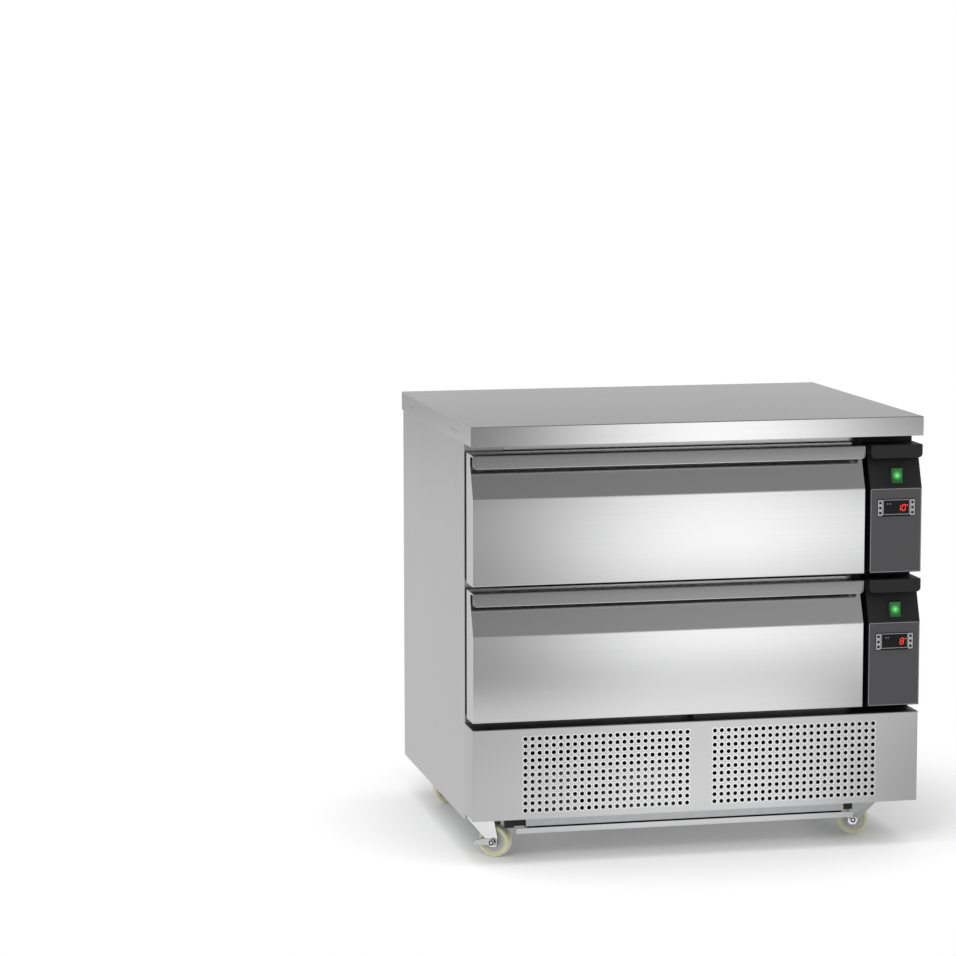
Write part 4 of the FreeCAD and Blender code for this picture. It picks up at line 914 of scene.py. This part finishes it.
# %% [markdown]
# ## Control column
# Each drawer has its own black fascia with a grey foil, a small temperature controller and a
# lit rocker switch. The foil has a thin light border. The controller is a smoked window with
# red digits made of slanted bars, as every seven-bar display has them, and printed keys at
# both sides. The keys are part of the foil and don't move.

# %% Small plates in front of a face
def small_plate(name, x, depth, z, radius, material, body="cabinet", stands_for=()):
    """A flat plate with rounded corners, seen from the front."""
    middle = ((x[0] + x[1]) / 2, (z[0] + z[1]) / 2)
    half = ((x[1] - x[0]) / 2, (z[1] - z[0]) / 2)
    outline = ring_of_box(middle, half, radius, 4)
    ease = min(0.25, (depth[1] - depth[0]) / 3)
    slim = ring_of_box(middle, (half[0] - ease, half[1] - ease), max(radius - ease, 0.05), 4)

    def loop(ring, at):
        return np.column_stack([ring[:, 0], np.full(len(ring), at), ring[:, 1]])

    loops = [loop(slim, depth[0]), loop(outline, depth[0] + ease), loop(outline, depth[1])]
    return stacked(name, loops, body, material, stands_for)


def frame_plate(name, x, depth, z, radius, width, material):
    """A thin closed frame: outer and inner loops at two depths, joined all round."""
    middle = ((x[0] + x[1]) / 2, (z[0] + z[1]) / 2)
    half = ((x[1] - x[0]) / 2, (z[1] - z[0]) / 2)
    outer = ring_of_box(middle, half, radius, 4)
    inner = ring_of_box(middle, (half[0] - width, half[1] - width), max(radius - width, 0.1), 4)
    rows = []
    for ring, at in ((outer, depth[1]), (outer, depth[0]), (inner, depth[0]), (inner, depth[1])):
        rows.append(np.column_stack([ring[:, 0], np.full(len(ring), at), ring[:, 1]]))
    points = np.array(rows)
    faces = grid_faces(4, points.shape[1], wrap_rows=True, wrap_columns=True)
    piece = make_object(name, points.reshape(-1, 3), faces, "cabinet", material)
    return face_outwards(piece)


# %% Seven-bar digits
BARS = {
    "0": "abcdef",
    "1": "bc",
    "8": "abcdefg",
}
DIGIT_WIDE, DIGIT_TALL, BAR = 6.4, 11.5, 1.35
LEAN = 0.14


def bar_outline(start, end):
    """A six-cornered bar between two points, pointed at both ends."""
    start, end = np.array(start, float), np.array(end, float)
    way = (end - start) / np.linalg.norm(end - start)
    across = np.array([-way[1], way[0]]) * BAR / 2
    a, b = start + way * BAR * 0.62, end - way * BAR * 0.62
    tips = (start + way * BAR * 0.12, end - way * BAR * 0.12)
    return np.array([tips[0], a + across, b + across, tips[1], b - across, a - across])


def digit_bars(sign, left, low):
    """The outlines of the lit bars of one digit, leaning to the right."""
    w, t = DIGIT_WIDE, DIGIT_TALL
    ends = {
        "a": ((0, t), (w, t)),
        "b": ((w, t), (w, t / 2)),
        "c": ((w, t / 2), (w, 0)),
        "d": ((0, 0), (w, 0)),
        "e": ((0, t / 2), (0, 0)),
        "f": ((0, t), (0, t / 2)),
        "g": ((0, t / 2), (w, t / 2)),
    }
    outlines = []
    for key in BARS[sign]:
        outline = bar_outline(*ends[key])
        outline[:, 0] += outline[:, 1] * LEAN + left
        outline[:, 1] += low
        outlines.append(outline)
    return outlines


def make_digits(name, text, right, low, depth):
    """All the bars of a reading and its small degree ring, as one mesh of thin prisms."""
    outlines = []
    left = right - len(text) * (DIGIT_WIDE + 3.4)
    for place, sign in enumerate(text):
        outlines += digit_bars(sign, left + place * (DIGIT_WIDE + 3.4), low)
    angle = np.linspace(0, 2 * np.pi, 12, endpoint=False)
    ring_x, ring_z = right + 1.6, low + DIGIT_TALL - 1.0
    degree = np.column_stack([ring_x + 1.3 * np.cos(angle), ring_z + 1.3 * np.sin(angle)])
    outlines.append(degree)
    points, faces = [], []
    for outline in outlines:
        first, count = len(points), len(outline)
        points += [(x, depth, z) for x, z in outline]
        points += [(x, depth + 0.08, z) for x, z in outline]
        faces += [list(range(first, first + count)), list(range(first + count, first + 2 * count))]
        for k in range(count):
            n = (k + 1) % count
            faces.append([first + k, first + n, first + count + n, first + count + k])
    piece = make_object(name, points, faces, "cabinet", digit_red)
    return face_outwards(piece)


# %% Foils, controllers and their readings
FASCIA_LEFT, FASCIA_RIGHT = 344.0, 449.0
CONTROLLER_MIDDLE = 396.5
READINGS = {"upper": "10", "lower": "8"}
for level, floor in DRAWER_FLOOR.items():
    middle = floor + 128
    foil = (FASCIA_LEFT + 0.75, FASCIA_RIGHT - 1.5)
    tall = (floor + 1.5, floor + 165)
    small_plate(
        f"overlay_{level}_foil", foil, (1.7, 2.5), tall, 2.5, grey_foil, "cabinet", [f"overlay_{level}"]
    )
    frame_plate(f"overlay_{level}_border", foil, (1.62, 1.8), tall, 2.5, 0.7, foil_border)
    wide = (CONTROLLER_MIDDLE - 38.5, CONTROLLER_MIDDLE + 38.5)
    high = (middle - 17, middle + 17)
    small_plate(
        f"controller_{level}_bezel", wide, (0.35, 1.75), high, 3, display_black, "cabinet",
        [f"controller_{level}"],
    )
    window = (CONTROLLER_MIDDLE - 27, CONTROLLER_MIDDLE + 27)
    frame_plate(
        f"controller_{level}_line", window, (0.24, 0.5), (middle - 13.5, middle + 15.5), 1.0, 0.9,
        foil_border,
    )
    make_digits(f"controller_{level}_reading", READINGS[level], CONTROLLER_MIDDLE + 21, middle - 6, 0.22)
    for side, x in (("left", CONTROLLER_MIDDLE - 32.8), ("right", CONTROLLER_MIDDLE + 32.8)):
        small_plate(
            f"controller_{level}_keys_{side}", (x - 4.8, x + 4.8), (0.27, 0.42),
            (middle - 15.5, middle + 15.5), 1.2, key_grey,
        )
        for row in range(3):
            z = middle + 10 - 10 * row
            small_plate(
                f"controller_{level}_mark_{side}_{row}", (x - 2.6, x + 2.6), (0.22, 0.30),
                (z - 2.6, z + 2.6), 1.2, display_black,
            )
    for index in range(2):
        x = CONTROLLER_MIDDLE - 18 + 5 * index
        small_plate(
            f"controller_{level}_dot_{index}", (x - 1.0, x + 1.0), (0.24, 0.42),
            (middle + 6.5, middle + 8.5), 0.9, key_grey,
        )
print("control column dressed")

# %% [markdown]
# ## Rocker switches
# A rocker is a lens with a shallow hollow between its two raised ends. Its surface is a grid
# in the plane of the fascia's slope: the height follows a square of the distance from the
# middle, and it falls off at the border. The middle of the lens is lit from below, so its
# glow falls off with the square of the distance from there.

# %% The slope's own directions
SLOPE_RUN, SLOPE_RISE = 23.5, 64.5
slope_turn = math.atan2(SLOPE_RUN, SLOPE_RISE)
rocker_turn = slope_turn - math.radians(8)


def on_rocker(level, across, out, along):
    """A point given across, out of and along the rocker, which is turned about its pivot."""
    share = (190 - 166.5) / SLOPE_RISE
    middle = np.array([400.5, 2.5 + SLOPE_RUN * share, DRAWER_FLOOR[level] + 190.0])
    pivot = middle + 4 * np.array([0, math.cos(slope_turn), -math.sin(slope_turn)])
    into = np.array([0, math.cos(rocker_turn), -math.sin(rocker_turn)])
    upward = np.array([0, math.sin(rocker_turn), math.cos(rocker_turn)])
    sideways = np.array([1.0, 0, 0])
    inward = -4 - np.asarray(out)
    return (
        pivot
        + np.asarray(across)[..., None] * sideways
        + inward[..., None] * into
        + np.asarray(along)[..., None] * upward
    )


lamp_places = [
    tuple(metres(on_rocker(level, np.array([0.0]), np.array([0.8]), np.array([0.0])))[0])
    for level in DRAWER_FLOOR
]
rocker_green = lit(
    "green lens", (0.004, 0.05, 0.010), (0.16, 1.0, 0.22), 1.0, 0.3, lamp_places, 0.012
)


# %% Lens surface
def make_rocker(level):
    """Rows across the curved face, the same rows below it, and a wall between their borders."""
    half_wide, half_long = 11.3, 14.8
    u = np.linspace(-1, 1, 15)
    v = np.linspace(-1, 1, 21)
    uu, vv = np.meshgrid(u, v, indexing="ij")
    border_drop = 0.5 * np.maximum(np.abs(uu), np.abs(vv)) ** 24
    out = 0.8 + 2.1 * vv**2 - border_drop
    face = on_rocker(level, uu * half_wide, out, vv * half_long)
    below = on_rocker(level, uu * half_wide, np.full_like(out, -7.0), vv * half_long * 0.55)
    rows, columns = uu.shape
    points = np.concatenate([face.reshape(-1, 3), below.reshape(-1, 3)])
    faces = grid_faces(rows, columns)
    faces += [quad[::-1] for quad in grid_faces(rows, columns, first=rows * columns)]
    border = [i * columns for i in range(rows)]
    border += [(rows - 1) * columns + j for j in range(1, columns)]
    border += [i * columns + columns - 1 for i in range(rows - 2, -1, -1)]
    border += [j for j in range(columns - 2, 0, -1)]
    offset = rows * columns
    for k, point in enumerate(border):
        following = border[(k + 1) % len(border)]
        faces.append([point, following, following + offset, point + offset])
    piece = make_object(
        f"rocker_{level}_lens", points, faces, f"switch_{level}", rocker_green, [f"rocker_{level}"]
    )
    return face_outwards(piece)


for level in DRAWER_FLOOR:
    print(make_rocker(level).name)

# %% [markdown]
# ## Castors
# Four swivel castors carry the counter, and the two at the front have a brake. A wheel is
# turned from one profile: a tread with eased shoulders, a shallow dish on both sides and a
# raised hub. It is a profile that goes once round the axle, so the tread is truly round.

# %% Where the castors are
CASTORS = {
    "front_left": (-406.0, 97.0, -33.0),
    "front_right": (378.5, 112.0, 166.0),
    "rear_left": (-406.0, 560.0, 8.0),
    "rear_right": (378.5, 560.0, 172.0),
}
TRAIL, AXLE_HEIGHT = 25.0, 31.0


def wheel_profile():
    """Tread, shoulder, dish and hub as (radius, place along the axle), closed at the bore."""
    corners = [(10.2, -11.9), (10.2, -9), (21, -9), (24, -12), (31, -12)]
    radii = [0, 0.8, 1.2, 1.2, 4.0]
    half = rounded_outline(corners + [(31, 0), (10.2, 0)], radii + [0, 0], 5)
    half = half[: -1]
    mirrored = half[::-1].copy()
    mirrored[:, 1] *= -1
    keep = mirrored[1:] if abs(half[-1, 1]) < 1e-6 else mirrored
    return np.concatenate([half, keep])


def hub_profile():
    """A plain sleeve round the axle bolt, a little shorter than the wheel is wide."""
    corners = [(4.15, -11.8), (10.1, -11.8), (10.1, 11.8), (4.15, 11.8)]
    return rounded_outline(corners, [0.3, 0.8, 0.8, 0.3], 3)


# %% Wheels on their axles
NUT_REACH = 8.0


def paint_nut_highlight_and_shade(corner, centre, axle):
    """Gives the fork's faces close to the axle's line a painted highlight on the nut ends and painted shade
    on their sides.
    """
    mesh = bpy.data.objects[f"castor_fork_{corner}_dressed"].data
    mesh.materials.append(nut_highlight_zinc)
    mesh.materials.append(nut_shade_zinc)
    hub = np.array([centre[0], centre[1] - HALF_DEPTH, centre[2]]) * MM
    line = np.array(axle)
    ends = [0.0, 0.0]
    for face in mesh.polygons:
        away = np.array(face.center) - hub
        along = float(away @ line)
        if np.linalg.norm(away - along * line) < NUT_REACH * MM and abs(along) > 0.015:
            face.material_index = 1 if abs(float(np.array(face.normal) @ line)) > 0.7 else 2
            ends = [min(ends[0], along / MM), max(ends[1], along / MM)]
    return ends


for corner, (x, depth, heading) in CASTORS.items():
    turn = math.radians(heading)
    centre = (x + TRAIL * math.cos(turn), depth + TRAIL * math.sin(turn), AXLE_HEIGHT)
    axle = (-math.sin(turn), math.cos(turn), 0.0)
    ends = paint_nut_highlight_and_shade(corner, centre, axle)
    for side, end in ((-1, ends[0]), (1, ends[1])):
        face = end - 0.1 * side
        # Each ring round a nut end is the dark zinc: painted shade round the nut.
        ring = [(2.4, face), (2.4, face + 0.35 * side), (5.4, face + 0.35 * side), (5.4, face)]
        turned(
            f"castor_fork_{corner}_ring_{side}",
            np.array(ring if side < 0 else ring[::-1]), centre, axle,
            f"fork_{corner}", nut_shade_zinc, (), 36,
        )
        cover = rounded_outline(
            [(10.3, 9.0 * side), (10.3, 10.0 * side), (19.5, 10.0 * side), (19.5, 9.0 * side)],
            [0, 0.2, 0.5, 0],
            3,
        )
        turned(
            f"castor_wheel_{corner}_cover_{side}", cover if side > 0 else cover[::-1], centre,
            axle, f"wheel_{corner}", hub_grey, (), 36,
        )
    turned(
        f"castor_wheel_{corner}_tread", wheel_profile(), centre, axle, f"wheel_{corner}",
        wheel_cream, [f"castor_wheel_{corner}"], 72,
    )
    turned(
        f"castor_wheel_{corner}_hub", hub_profile(), centre, axle, f"wheel_{corner}", hub_grey,
        (), 36,
    )
print(len(CASTORS), "wheels turned")

# %% [markdown]
# ## Machine space
# Behind the holes stand a compressor, a condenser and its fan. They are seen only as shapes
# in the dark, but they are seen from below and behind when a panel is off. The pot is turned,
# the condenser is a row of thin fins with straight copper tubes through them, and each fan
# blade is a twisted grid with a thickness.

# %% Compressor pot with its seam
def make_compressor():
    """A profile from the foot plate over the welded seam to the dome, closed on the axis."""
    base = 85.5
    profile = [
        (0.01, base - 6),
        (66, base - 6),
        (71, base + 2),
        (71.8, base + 10),
        (71.8, base + 70),
        (71.9, base + 76),
        (71.9, base + 80),
        (71.6, base + 86),
        (70, base + 112),
        (62, base + 134),
        (45, base + 148),
        (22, base + 154),
        (0.01, base + 154.9),
    ]
    pot = turned(
        "compressor_pot", profile, (190, 360, 0), (0, 0, 1), "cabinet", pot_paint, ["compressor"], 48
    )
    foot = ring_of_box((190, 360), (71, 71), 10, 5)
    loops = [np.column_stack([foot, np.full(len(foot), z)]) for z in (79.5, 85.0)]
    stacked("compressor_foot_plate", loops, "cabinet", galvanised)
    for index, (a, b) in enumerate(((-1, -1), (-1, 1), (1, -1), (1, 1))):
        sleeve = [(2.5, 67.6), (8.5, 67.6), (8.9, 70), (7, 73.5), (8.9, 77), (8.5, 79.4), (2.5, 79.4)]
        turned(
            f"compressor_foot_{index}", sleeve, (190 + 62 * a, 360 + 62 * b, 0), (0, 0, 1),
            "cabinet", seal_rubber, (), 20,
        )
    return pot


print(make_compressor().name)


# %% Condenser: fins and straight tubes
def make_condenser():
    """Thin upright plates at an even pitch between two end plates with legs."""
    left, right, near, far, low, high = -340.0, -30.0, 20.0, 65.0, 180.0, 252.0
    points, faces = [], []

    def add_block(x0, x1, y0, y1, z0, z1):
        first = len(points)
        for x in (x0, x1):
            for y, z in ((y0, z0), (y1, z0), (y1, z1), (y0, z1)):
                points.append((x, y, z))
        a = first
        faces.extend([[a, a + 1, a + 2, a + 3], [a + 4, a + 5, a + 6, a + 7]])
        for k in range(4):
            n = (k + 1) % 4
            faces.append([a + k, a + n, a + 4 + n, a + 4 + k])

    for index in range(60):
        x = left + 4 + index * (right - left - 8) / 59
        add_block(x - 0.15, x + 0.15, near + 0.5, far - 0.5, low + 0.5, high - 0.5)
    for x in (left, right - 2):
        add_block(x, x + 2, near, far, low, high)
        add_block(x, x + 2, near, 40.0, 90.5, low)
    fins = make_object("condenser_fins", points, faces, "cabinet", black_fins, ["condenser"])
    return face_outwards(fins)


def make_tubes():
    """Straight tubes through the fins, each a small circle pulled along the width."""
    angle = np.linspace(0, 2 * np.pi, 12, endpoint=False)
    for row, z in enumerate((192, 208, 224, 240)):
        outline = np.column_stack([42 + 4 * np.cos(angle), z + 4 * np.sin(angle)])
        pulled(f"condenser_tube_{row}", outline, [-339.0, -31.0], 0, "cabinet", dark_copper)


print(make_condenser().name)
make_tubes()


# %% Fan: hub and twisted blades
def make_fan():
    """Each blade: radius on one axis of the grid and chord on the other, twisted less outwards."""
    middle = np.array([-185.0, 92.0, 168.0])
    radius = np.linspace(17, 69.5, 9)
    chord = np.linspace(-0.5, 0.5, 9)
    rr, cc = np.meshgrid(radius, chord, indexing="ij")
    share = (rr - 17) / 52.5
    pitch = np.radians(40 - 18 * share)
    width = 26 + 10 * share
    along = cc * width * np.cos(pitch)
    depth = cc * width * np.sin(pitch) * 0.85
    arch = 2.0 * (1 - (2 * cc) ** 2)
    points, faces = [], []
    for index in range(5):
        turn = 2 * math.pi * index / 5
        angle = turn + along / rr
        for side in (0.7, -0.7):
            layer = np.stack(
                [
                    middle[0] + rr * np.sin(angle),
                    middle[1] + np.clip(depth + arch * 0.4, -8.2, 8.2) + side,
                    middle[2] + rr * np.cos(angle),
                ],
                axis=-1,
            )
            first = len(points)
            points += layer.reshape(-1, 3).tolist()
            faces += grid_faces(9, 9, first=first)
        low = len(points) - 81
        high = low - 81
        border = [i * 9 for i in range(9)] + [72 + j for j in range(1, 9)]
        border += [i * 9 + 8 for i in range(7, -1, -1)] + [j for j in range(7, 0, -1)]
        for k, point in enumerate(border):
            following = border[(k + 1) % len(border)]
            faces.append([high + point, high + following, low + following, low + point])
    blades = make_object("fan_blades", points, faces, "fan", fan_plastic, ["fan_wheel"])
    face_outwards(blades)
    hub = [(4.2, 0.4), (4.2, 9), (16, 9), (19.6, 6), (19.6, -6), (17, -8.8), (0.01, -9), (0.01, -1)]
    turned("fan_hub", hub, middle, (0, 1, 0), "fan", fan_plastic, (), 32)


make_fan()
print("fan made")

# %% [markdown]
# ## Floor, light and camera
# The floor and the space round it are white, as in a product photograph, and keep a soft
# shadow. Metal shows its surroundings more than its own colour, so what it sees matters. For
# mirrored rays only, the floor and the world glow with a painted pattern of light and shade:
# the world is bright at the horizon and darker overhead, and the floor ahead of the counter is
# brightest opposite its middle and darker towards both ends. The lamps stand at the front
# left, overhead and at the left, and mirrored rays don't see the key and the top lamp.

# %% Floor that stays white and keeps the shadow
floor_mesh = bpy.data.meshes.new("floor")
reach = 30.0
floor_mesh.from_pydata(
    [(-reach, -reach, 0), (reach, -reach, 0), (reach, reach, 0), (-reach, reach, 0)],
    [],
    [(0, 1, 2, 3)],
)
floor = bpy.data.objects.new("floor", floor_mesh)
bpy.context.scene.collection.objects.link(floor)
floor_material, floor_tree, floor_shader = new_material("pale floor")
floor_shader.inputs["Base Color"].default_value = (0.95, 0.95, 0.95, 1)
floor_shader.inputs["Roughness"].default_value = 0.9
floor_shader.inputs["Specular IOR Level"].default_value = 0.0
place = floor_tree.nodes.new("ShaderNodeTexCoord")
away = floor_tree.nodes.new("ShaderNodeVectorMath")
away.operation = "LENGTH"
floor_tree.links.new(place.outputs["Object"], away.inputs[0])
far = floor_tree.nodes.new("ShaderNodeMapRange")
far.interpolation_type = "SMOOTHSTEP"
far.inputs["From Min"].default_value = 0.52
far.inputs["From Max"].default_value = 1.15
floor_tree.links.new(away.outputs["Value"], far.inputs["Value"])
path = floor_tree.nodes.new("ShaderNodeLightPath")
white_share = math_node(floor_tree, "MULTIPLY", far.outputs["Result"], path.outputs["Is Camera Ray"])
white = floor_tree.nodes.new("ShaderNodeEmission")
white.inputs["Color"].default_value = (1, 1, 1, 1)
blend = floor_tree.nodes.new("ShaderNodeMixShader")
floor_tree.links.new(white_share, blend.inputs["Fac"])
floor_tree.links.new(floor_shader.outputs[0], blend.inputs[1])
floor_tree.links.new(white.outputs[0], blend.inputs[2])
floor_mesh.materials.append(floor_material)
print("floor reaches", reach, "m each way")


# %% What the steel sees of the floor: painted light and shade for mirrored rays
def eased(tree, value, start, end, low, high):
    """A value that goes smoothly from low to high between two limits."""
    step = tree.nodes.new("ShaderNodeMapRange")
    step.interpolation_type = "SMOOTHSTEP"
    for label, number in (("From Min", start), ("From Max", end), ("To Min", low), ("To Max", high)):
        step.inputs[label].default_value = number
    tree.links.new(value, step.inputs["Value"])
    return step.outputs["Result"]


split = floor_tree.nodes.new("ShaderNodeSeparateXYZ")
floor_tree.links.new(place.outputs["Object"], split.inputs[0])
ahead = math_node(floor_tree, "SUBTRACT", -0.35, split.outputs["Y"])
drift = math_node(floor_tree, "MULTIPLY", ahead, 0.2855)
spread = math_node(floor_tree, "ADD", math_node(floor_tree, "MULTIPLY", ahead, 0.1662), 1.0)
moved = math_node(floor_tree, "SUBTRACT", split.outputs["X"], drift)
traced = math_node(floor_tree, "DIVIDE", moved, spread)
rise = eased(floor_tree, traced, -0.46, -0.02, 0.0, 1.0)
settle = eased(floor_tree, traced, 0.08, 0.50, 1.0, 0.45)
gain = eased(floor_tree, ahead, 1.1, 2.8, 0.62, 1.42)
lift = math_node(floor_tree, "MULTIPLY", math_node(floor_tree, "MULTIPLY", rise, settle), gain)
middle_shade = math_node(floor_tree, "ADD", lift, 0.46)
near_rise = eased(floor_tree, traced, -0.45, -0.05, 0.96, 1.32)
near_fall = eased(floor_tree, traced, 0.12, 0.46, 1.0, 0.38)
near_shade = math_node(floor_tree, "MULTIPLY", near_rise, near_fall)


def horizon_shade(tree, traced):
    """Far shade: rises from dark at the left to bright in the middle and falls again."""
    far_rise = eased(tree, traced, -0.44, -0.02, 0.20, 1.85)
    far_fall = eased(tree, traced, 0.13, 0.42, 1.0, 0.10)
    return math_node(tree, "MULTIPLY", far_rise, far_fall)


far_shade = horizon_shade(floor_tree, traced)


def crossed(tree, share, first, second):
    """The first value where the share is 0, the second where it is 1."""
    kept = math_node(tree, "MULTIPLY", first, math_node(tree, "SUBTRACT", 1.0, share))
    return math_node(tree, "ADD", kept, math_node(tree, "MULTIPLY", second, share))


near_to_middle = crossed(
    floor_tree, eased(floor_tree, ahead, 0.85, 1.45, 0.0, 1.0), near_shade, middle_shade
)
to_far = crossed(
    floor_tree, eased(floor_tree, ahead, 5.6, 7.0, 0.0, 1.0), near_to_middle, far_shade
)
around = eased(floor_tree, away.outputs["Value"], 5.6, 8.5, 0.77, 0.50)
shade = crossed(floor_tree, eased(floor_tree, ahead, 0.0, 0.4, 0.0, 1.0), around, to_far)
# Mirrored rays see the floor glow with this painted light and shade, in place of its lit colour.
mirrored_floor = floor_tree.nodes.new("ShaderNodeEmission")
floor_tree.links.new(shade, mirrored_floor.inputs["Strength"])
second = floor_tree.nodes.new("ShaderNodeMixShader")
floor_tree.links.new(path.outputs["Is Glossy Ray"], second.inputs["Fac"])
floor_tree.links.new(blend.outputs[0], second.inputs[1])
floor_tree.links.new(mirrored_floor.outputs[0], second.inputs[2])
floor_output = floor_tree.nodes["Material Output"]
floor_tree.links.new(second.outputs[0], floor_output.inputs["Surface"])
print("floor is brighter to the right in reflections")

# %% World: white to the camera, with painted light and shade in reflections
world = bpy.data.worlds.new("studio")
bpy.context.scene.world = world
world.use_nodes = True
tree = world.node_tree
tree.nodes.clear()
output = tree.nodes.new("ShaderNodeOutputWorld")
path = tree.nodes.new("ShaderNodeLightPath")
place = tree.nodes.new("ShaderNodeTexCoord")
split = tree.nodes.new("ShaderNodeSeparateXYZ")
tree.links.new(place.outputs["Generated"], split.inputs[0])
height = split.outputs["Z"]
dome = eased(tree, height, -0.10, 0.75, 0.70, 0.32)
glow = eased(tree, height, 0.0, 0.10, 0.30, 0.0)
dome_shade = math_node(tree, "ADD", dome, glow)
slant = math_node(tree, "DIVIDE", split.outputs["X"], math_node(tree, "MULTIPLY", split.outputs["Y"], -1.0))
traced_back = math_node(tree, "DIVIDE", math_node(tree, "SUBTRACT", slant, 0.2855), 0.1662)
in_front = eased(tree, split.outputs["Y"], -0.3, -0.1, 1.0, 0.0)
slope_rise = eased(tree, traced_back, -0.25, 0.15, 0.66, 1.0)
slope_fall = eased(tree, traced_back, 0.25, 0.75, 1.0, 0.82)
slope_step = eased(tree, height, 0.475, 0.56, 1.5, 0.8)
slope_gain = math_node(tree, "MULTIPLY", math_node(tree, "MULTIPLY", slope_rise, slope_fall), slope_step)
dome_front = math_node(tree, "MULTIPLY", dome_shade, slope_gain)
dome_shade = crossed(tree, in_front, dome_shade, dome_front)
low_down = eased(tree, height, 0.04, 0.26, 1.0, 0.0)
front_share = math_node(tree, "MULTIPLY", in_front, low_down)
world_shade = crossed(tree, front_share, dome_shade, horizon_shade(tree, traced_back))
seen = tree.nodes.new("ShaderNodeBackground")
seen.inputs["Color"].default_value = (1, 1, 1, 1)
# Mirrored rays see the world glow with this painted light and shade.
mirrored = tree.nodes.new("ShaderNodeBackground")
mirrored.inputs["Color"].default_value = (1, 1, 1, 1)
tree.links.new(world_shade, mirrored.inputs["Strength"])
fill = tree.nodes.new("ShaderNodeBackground")
fill.inputs["Color"].default_value = (1, 1, 1, 1)
fill.inputs["Strength"].default_value = 0.9
first_mix = tree.nodes.new("ShaderNodeMixShader")
tree.links.new(path.outputs["Is Glossy Ray"], first_mix.inputs["Fac"])
tree.links.new(fill.outputs[0], first_mix.inputs[1])
tree.links.new(mirrored.outputs[0], first_mix.inputs[2])
last_mix = tree.nodes.new("ShaderNodeMixShader")
direct = math_node(tree, "MAXIMUM", path.outputs["Is Camera Ray"], path.outputs["Is Transmission Ray"])
tree.links.new(direct, last_mix.inputs["Fac"])
tree.links.new(first_mix.outputs[0], last_mix.inputs[1])
tree.links.new(seen.outputs[0], last_mix.inputs[2])
tree.links.new(last_mix.outputs[0], output.inputs["Surface"])
print("world ready")


# %% Lamps
def soft_lamp(name, place, aim, size, power):
    """A square lamp at a place, facing the point it aims at."""
    data = bpy.data.lights.new(name, "AREA")
    data.shape = "RECTANGLE"
    data.size, data.size_y = size
    data.energy = power
    lamp = bpy.data.objects.new(name, data)
    bpy.context.scene.collection.objects.link(lamp)
    lamp.location = place
    from mathutils import Vector

    lamp.rotation_euler = (Vector(aim) - Vector(place)).to_track_quat("-Z", "Y").to_euler()
    return lamp


key_lamp = soft_lamp("key", (-2.6, -4.2, 3.8), (0.0, -0.35, 0.45), (1.6, 1.6), 45)
key_lamp.visible_glossy = False
top_lamp = soft_lamp("top", (-0.5, -0.5, 4.2), (0, 0, 0.4), (3.5, 3.0), 60)
top_lamp.visible_glossy = False
soft_lamp("left", (-4.5, -1.5, 2.0), (-0.4, 0, 0.4), (2.0, 2.5), 8)
print("lamps set")

# %% Camera at the photograph's place
FOCAL_PIXELS = 3279.38
IMAGE_PIXELS = 956
YAW, PITCH_DOWN, ROLL = 0.20987, 0.12605, -0.00161
CAMERA_PLACE = (-1.71773, -6.36654, 1.53293)
forward = np.array(
    [
        math.sin(YAW) * math.cos(PITCH_DOWN),
        math.cos(YAW) * math.cos(PITCH_DOWN),
        -math.sin(PITCH_DOWN),
    ]
)
right = np.array([math.cos(YAW), -math.sin(YAW), 0.0])
above = np.cross(right, forward)
level_right = right * math.cos(ROLL) + above * math.sin(ROLL)
level_up = -right * math.sin(ROLL) + above * math.cos(ROLL)

from mathutils import Matrix

camera_data = bpy.data.cameras.new("camera")
camera_data.sensor_width = 36.0
camera_data.lens = FOCAL_PIXELS / IMAGE_PIXELS * camera_data.sensor_width
camera_data.clip_end = 200.0
camera = bpy.data.objects.new("camera", camera_data)
bpy.context.scene.collection.objects.link(camera)
turn = np.column_stack([level_right, level_up, -forward])
camera.matrix_world = Matrix.Translation(CAMERA_PLACE) @ Matrix(turn.tolist()).to_4x4()
bpy.context.scene.camera = camera
bpy.context.scene.view_settings.view_transform = "Standard"
print("camera lens", round(camera_data.lens, 2), "mm")
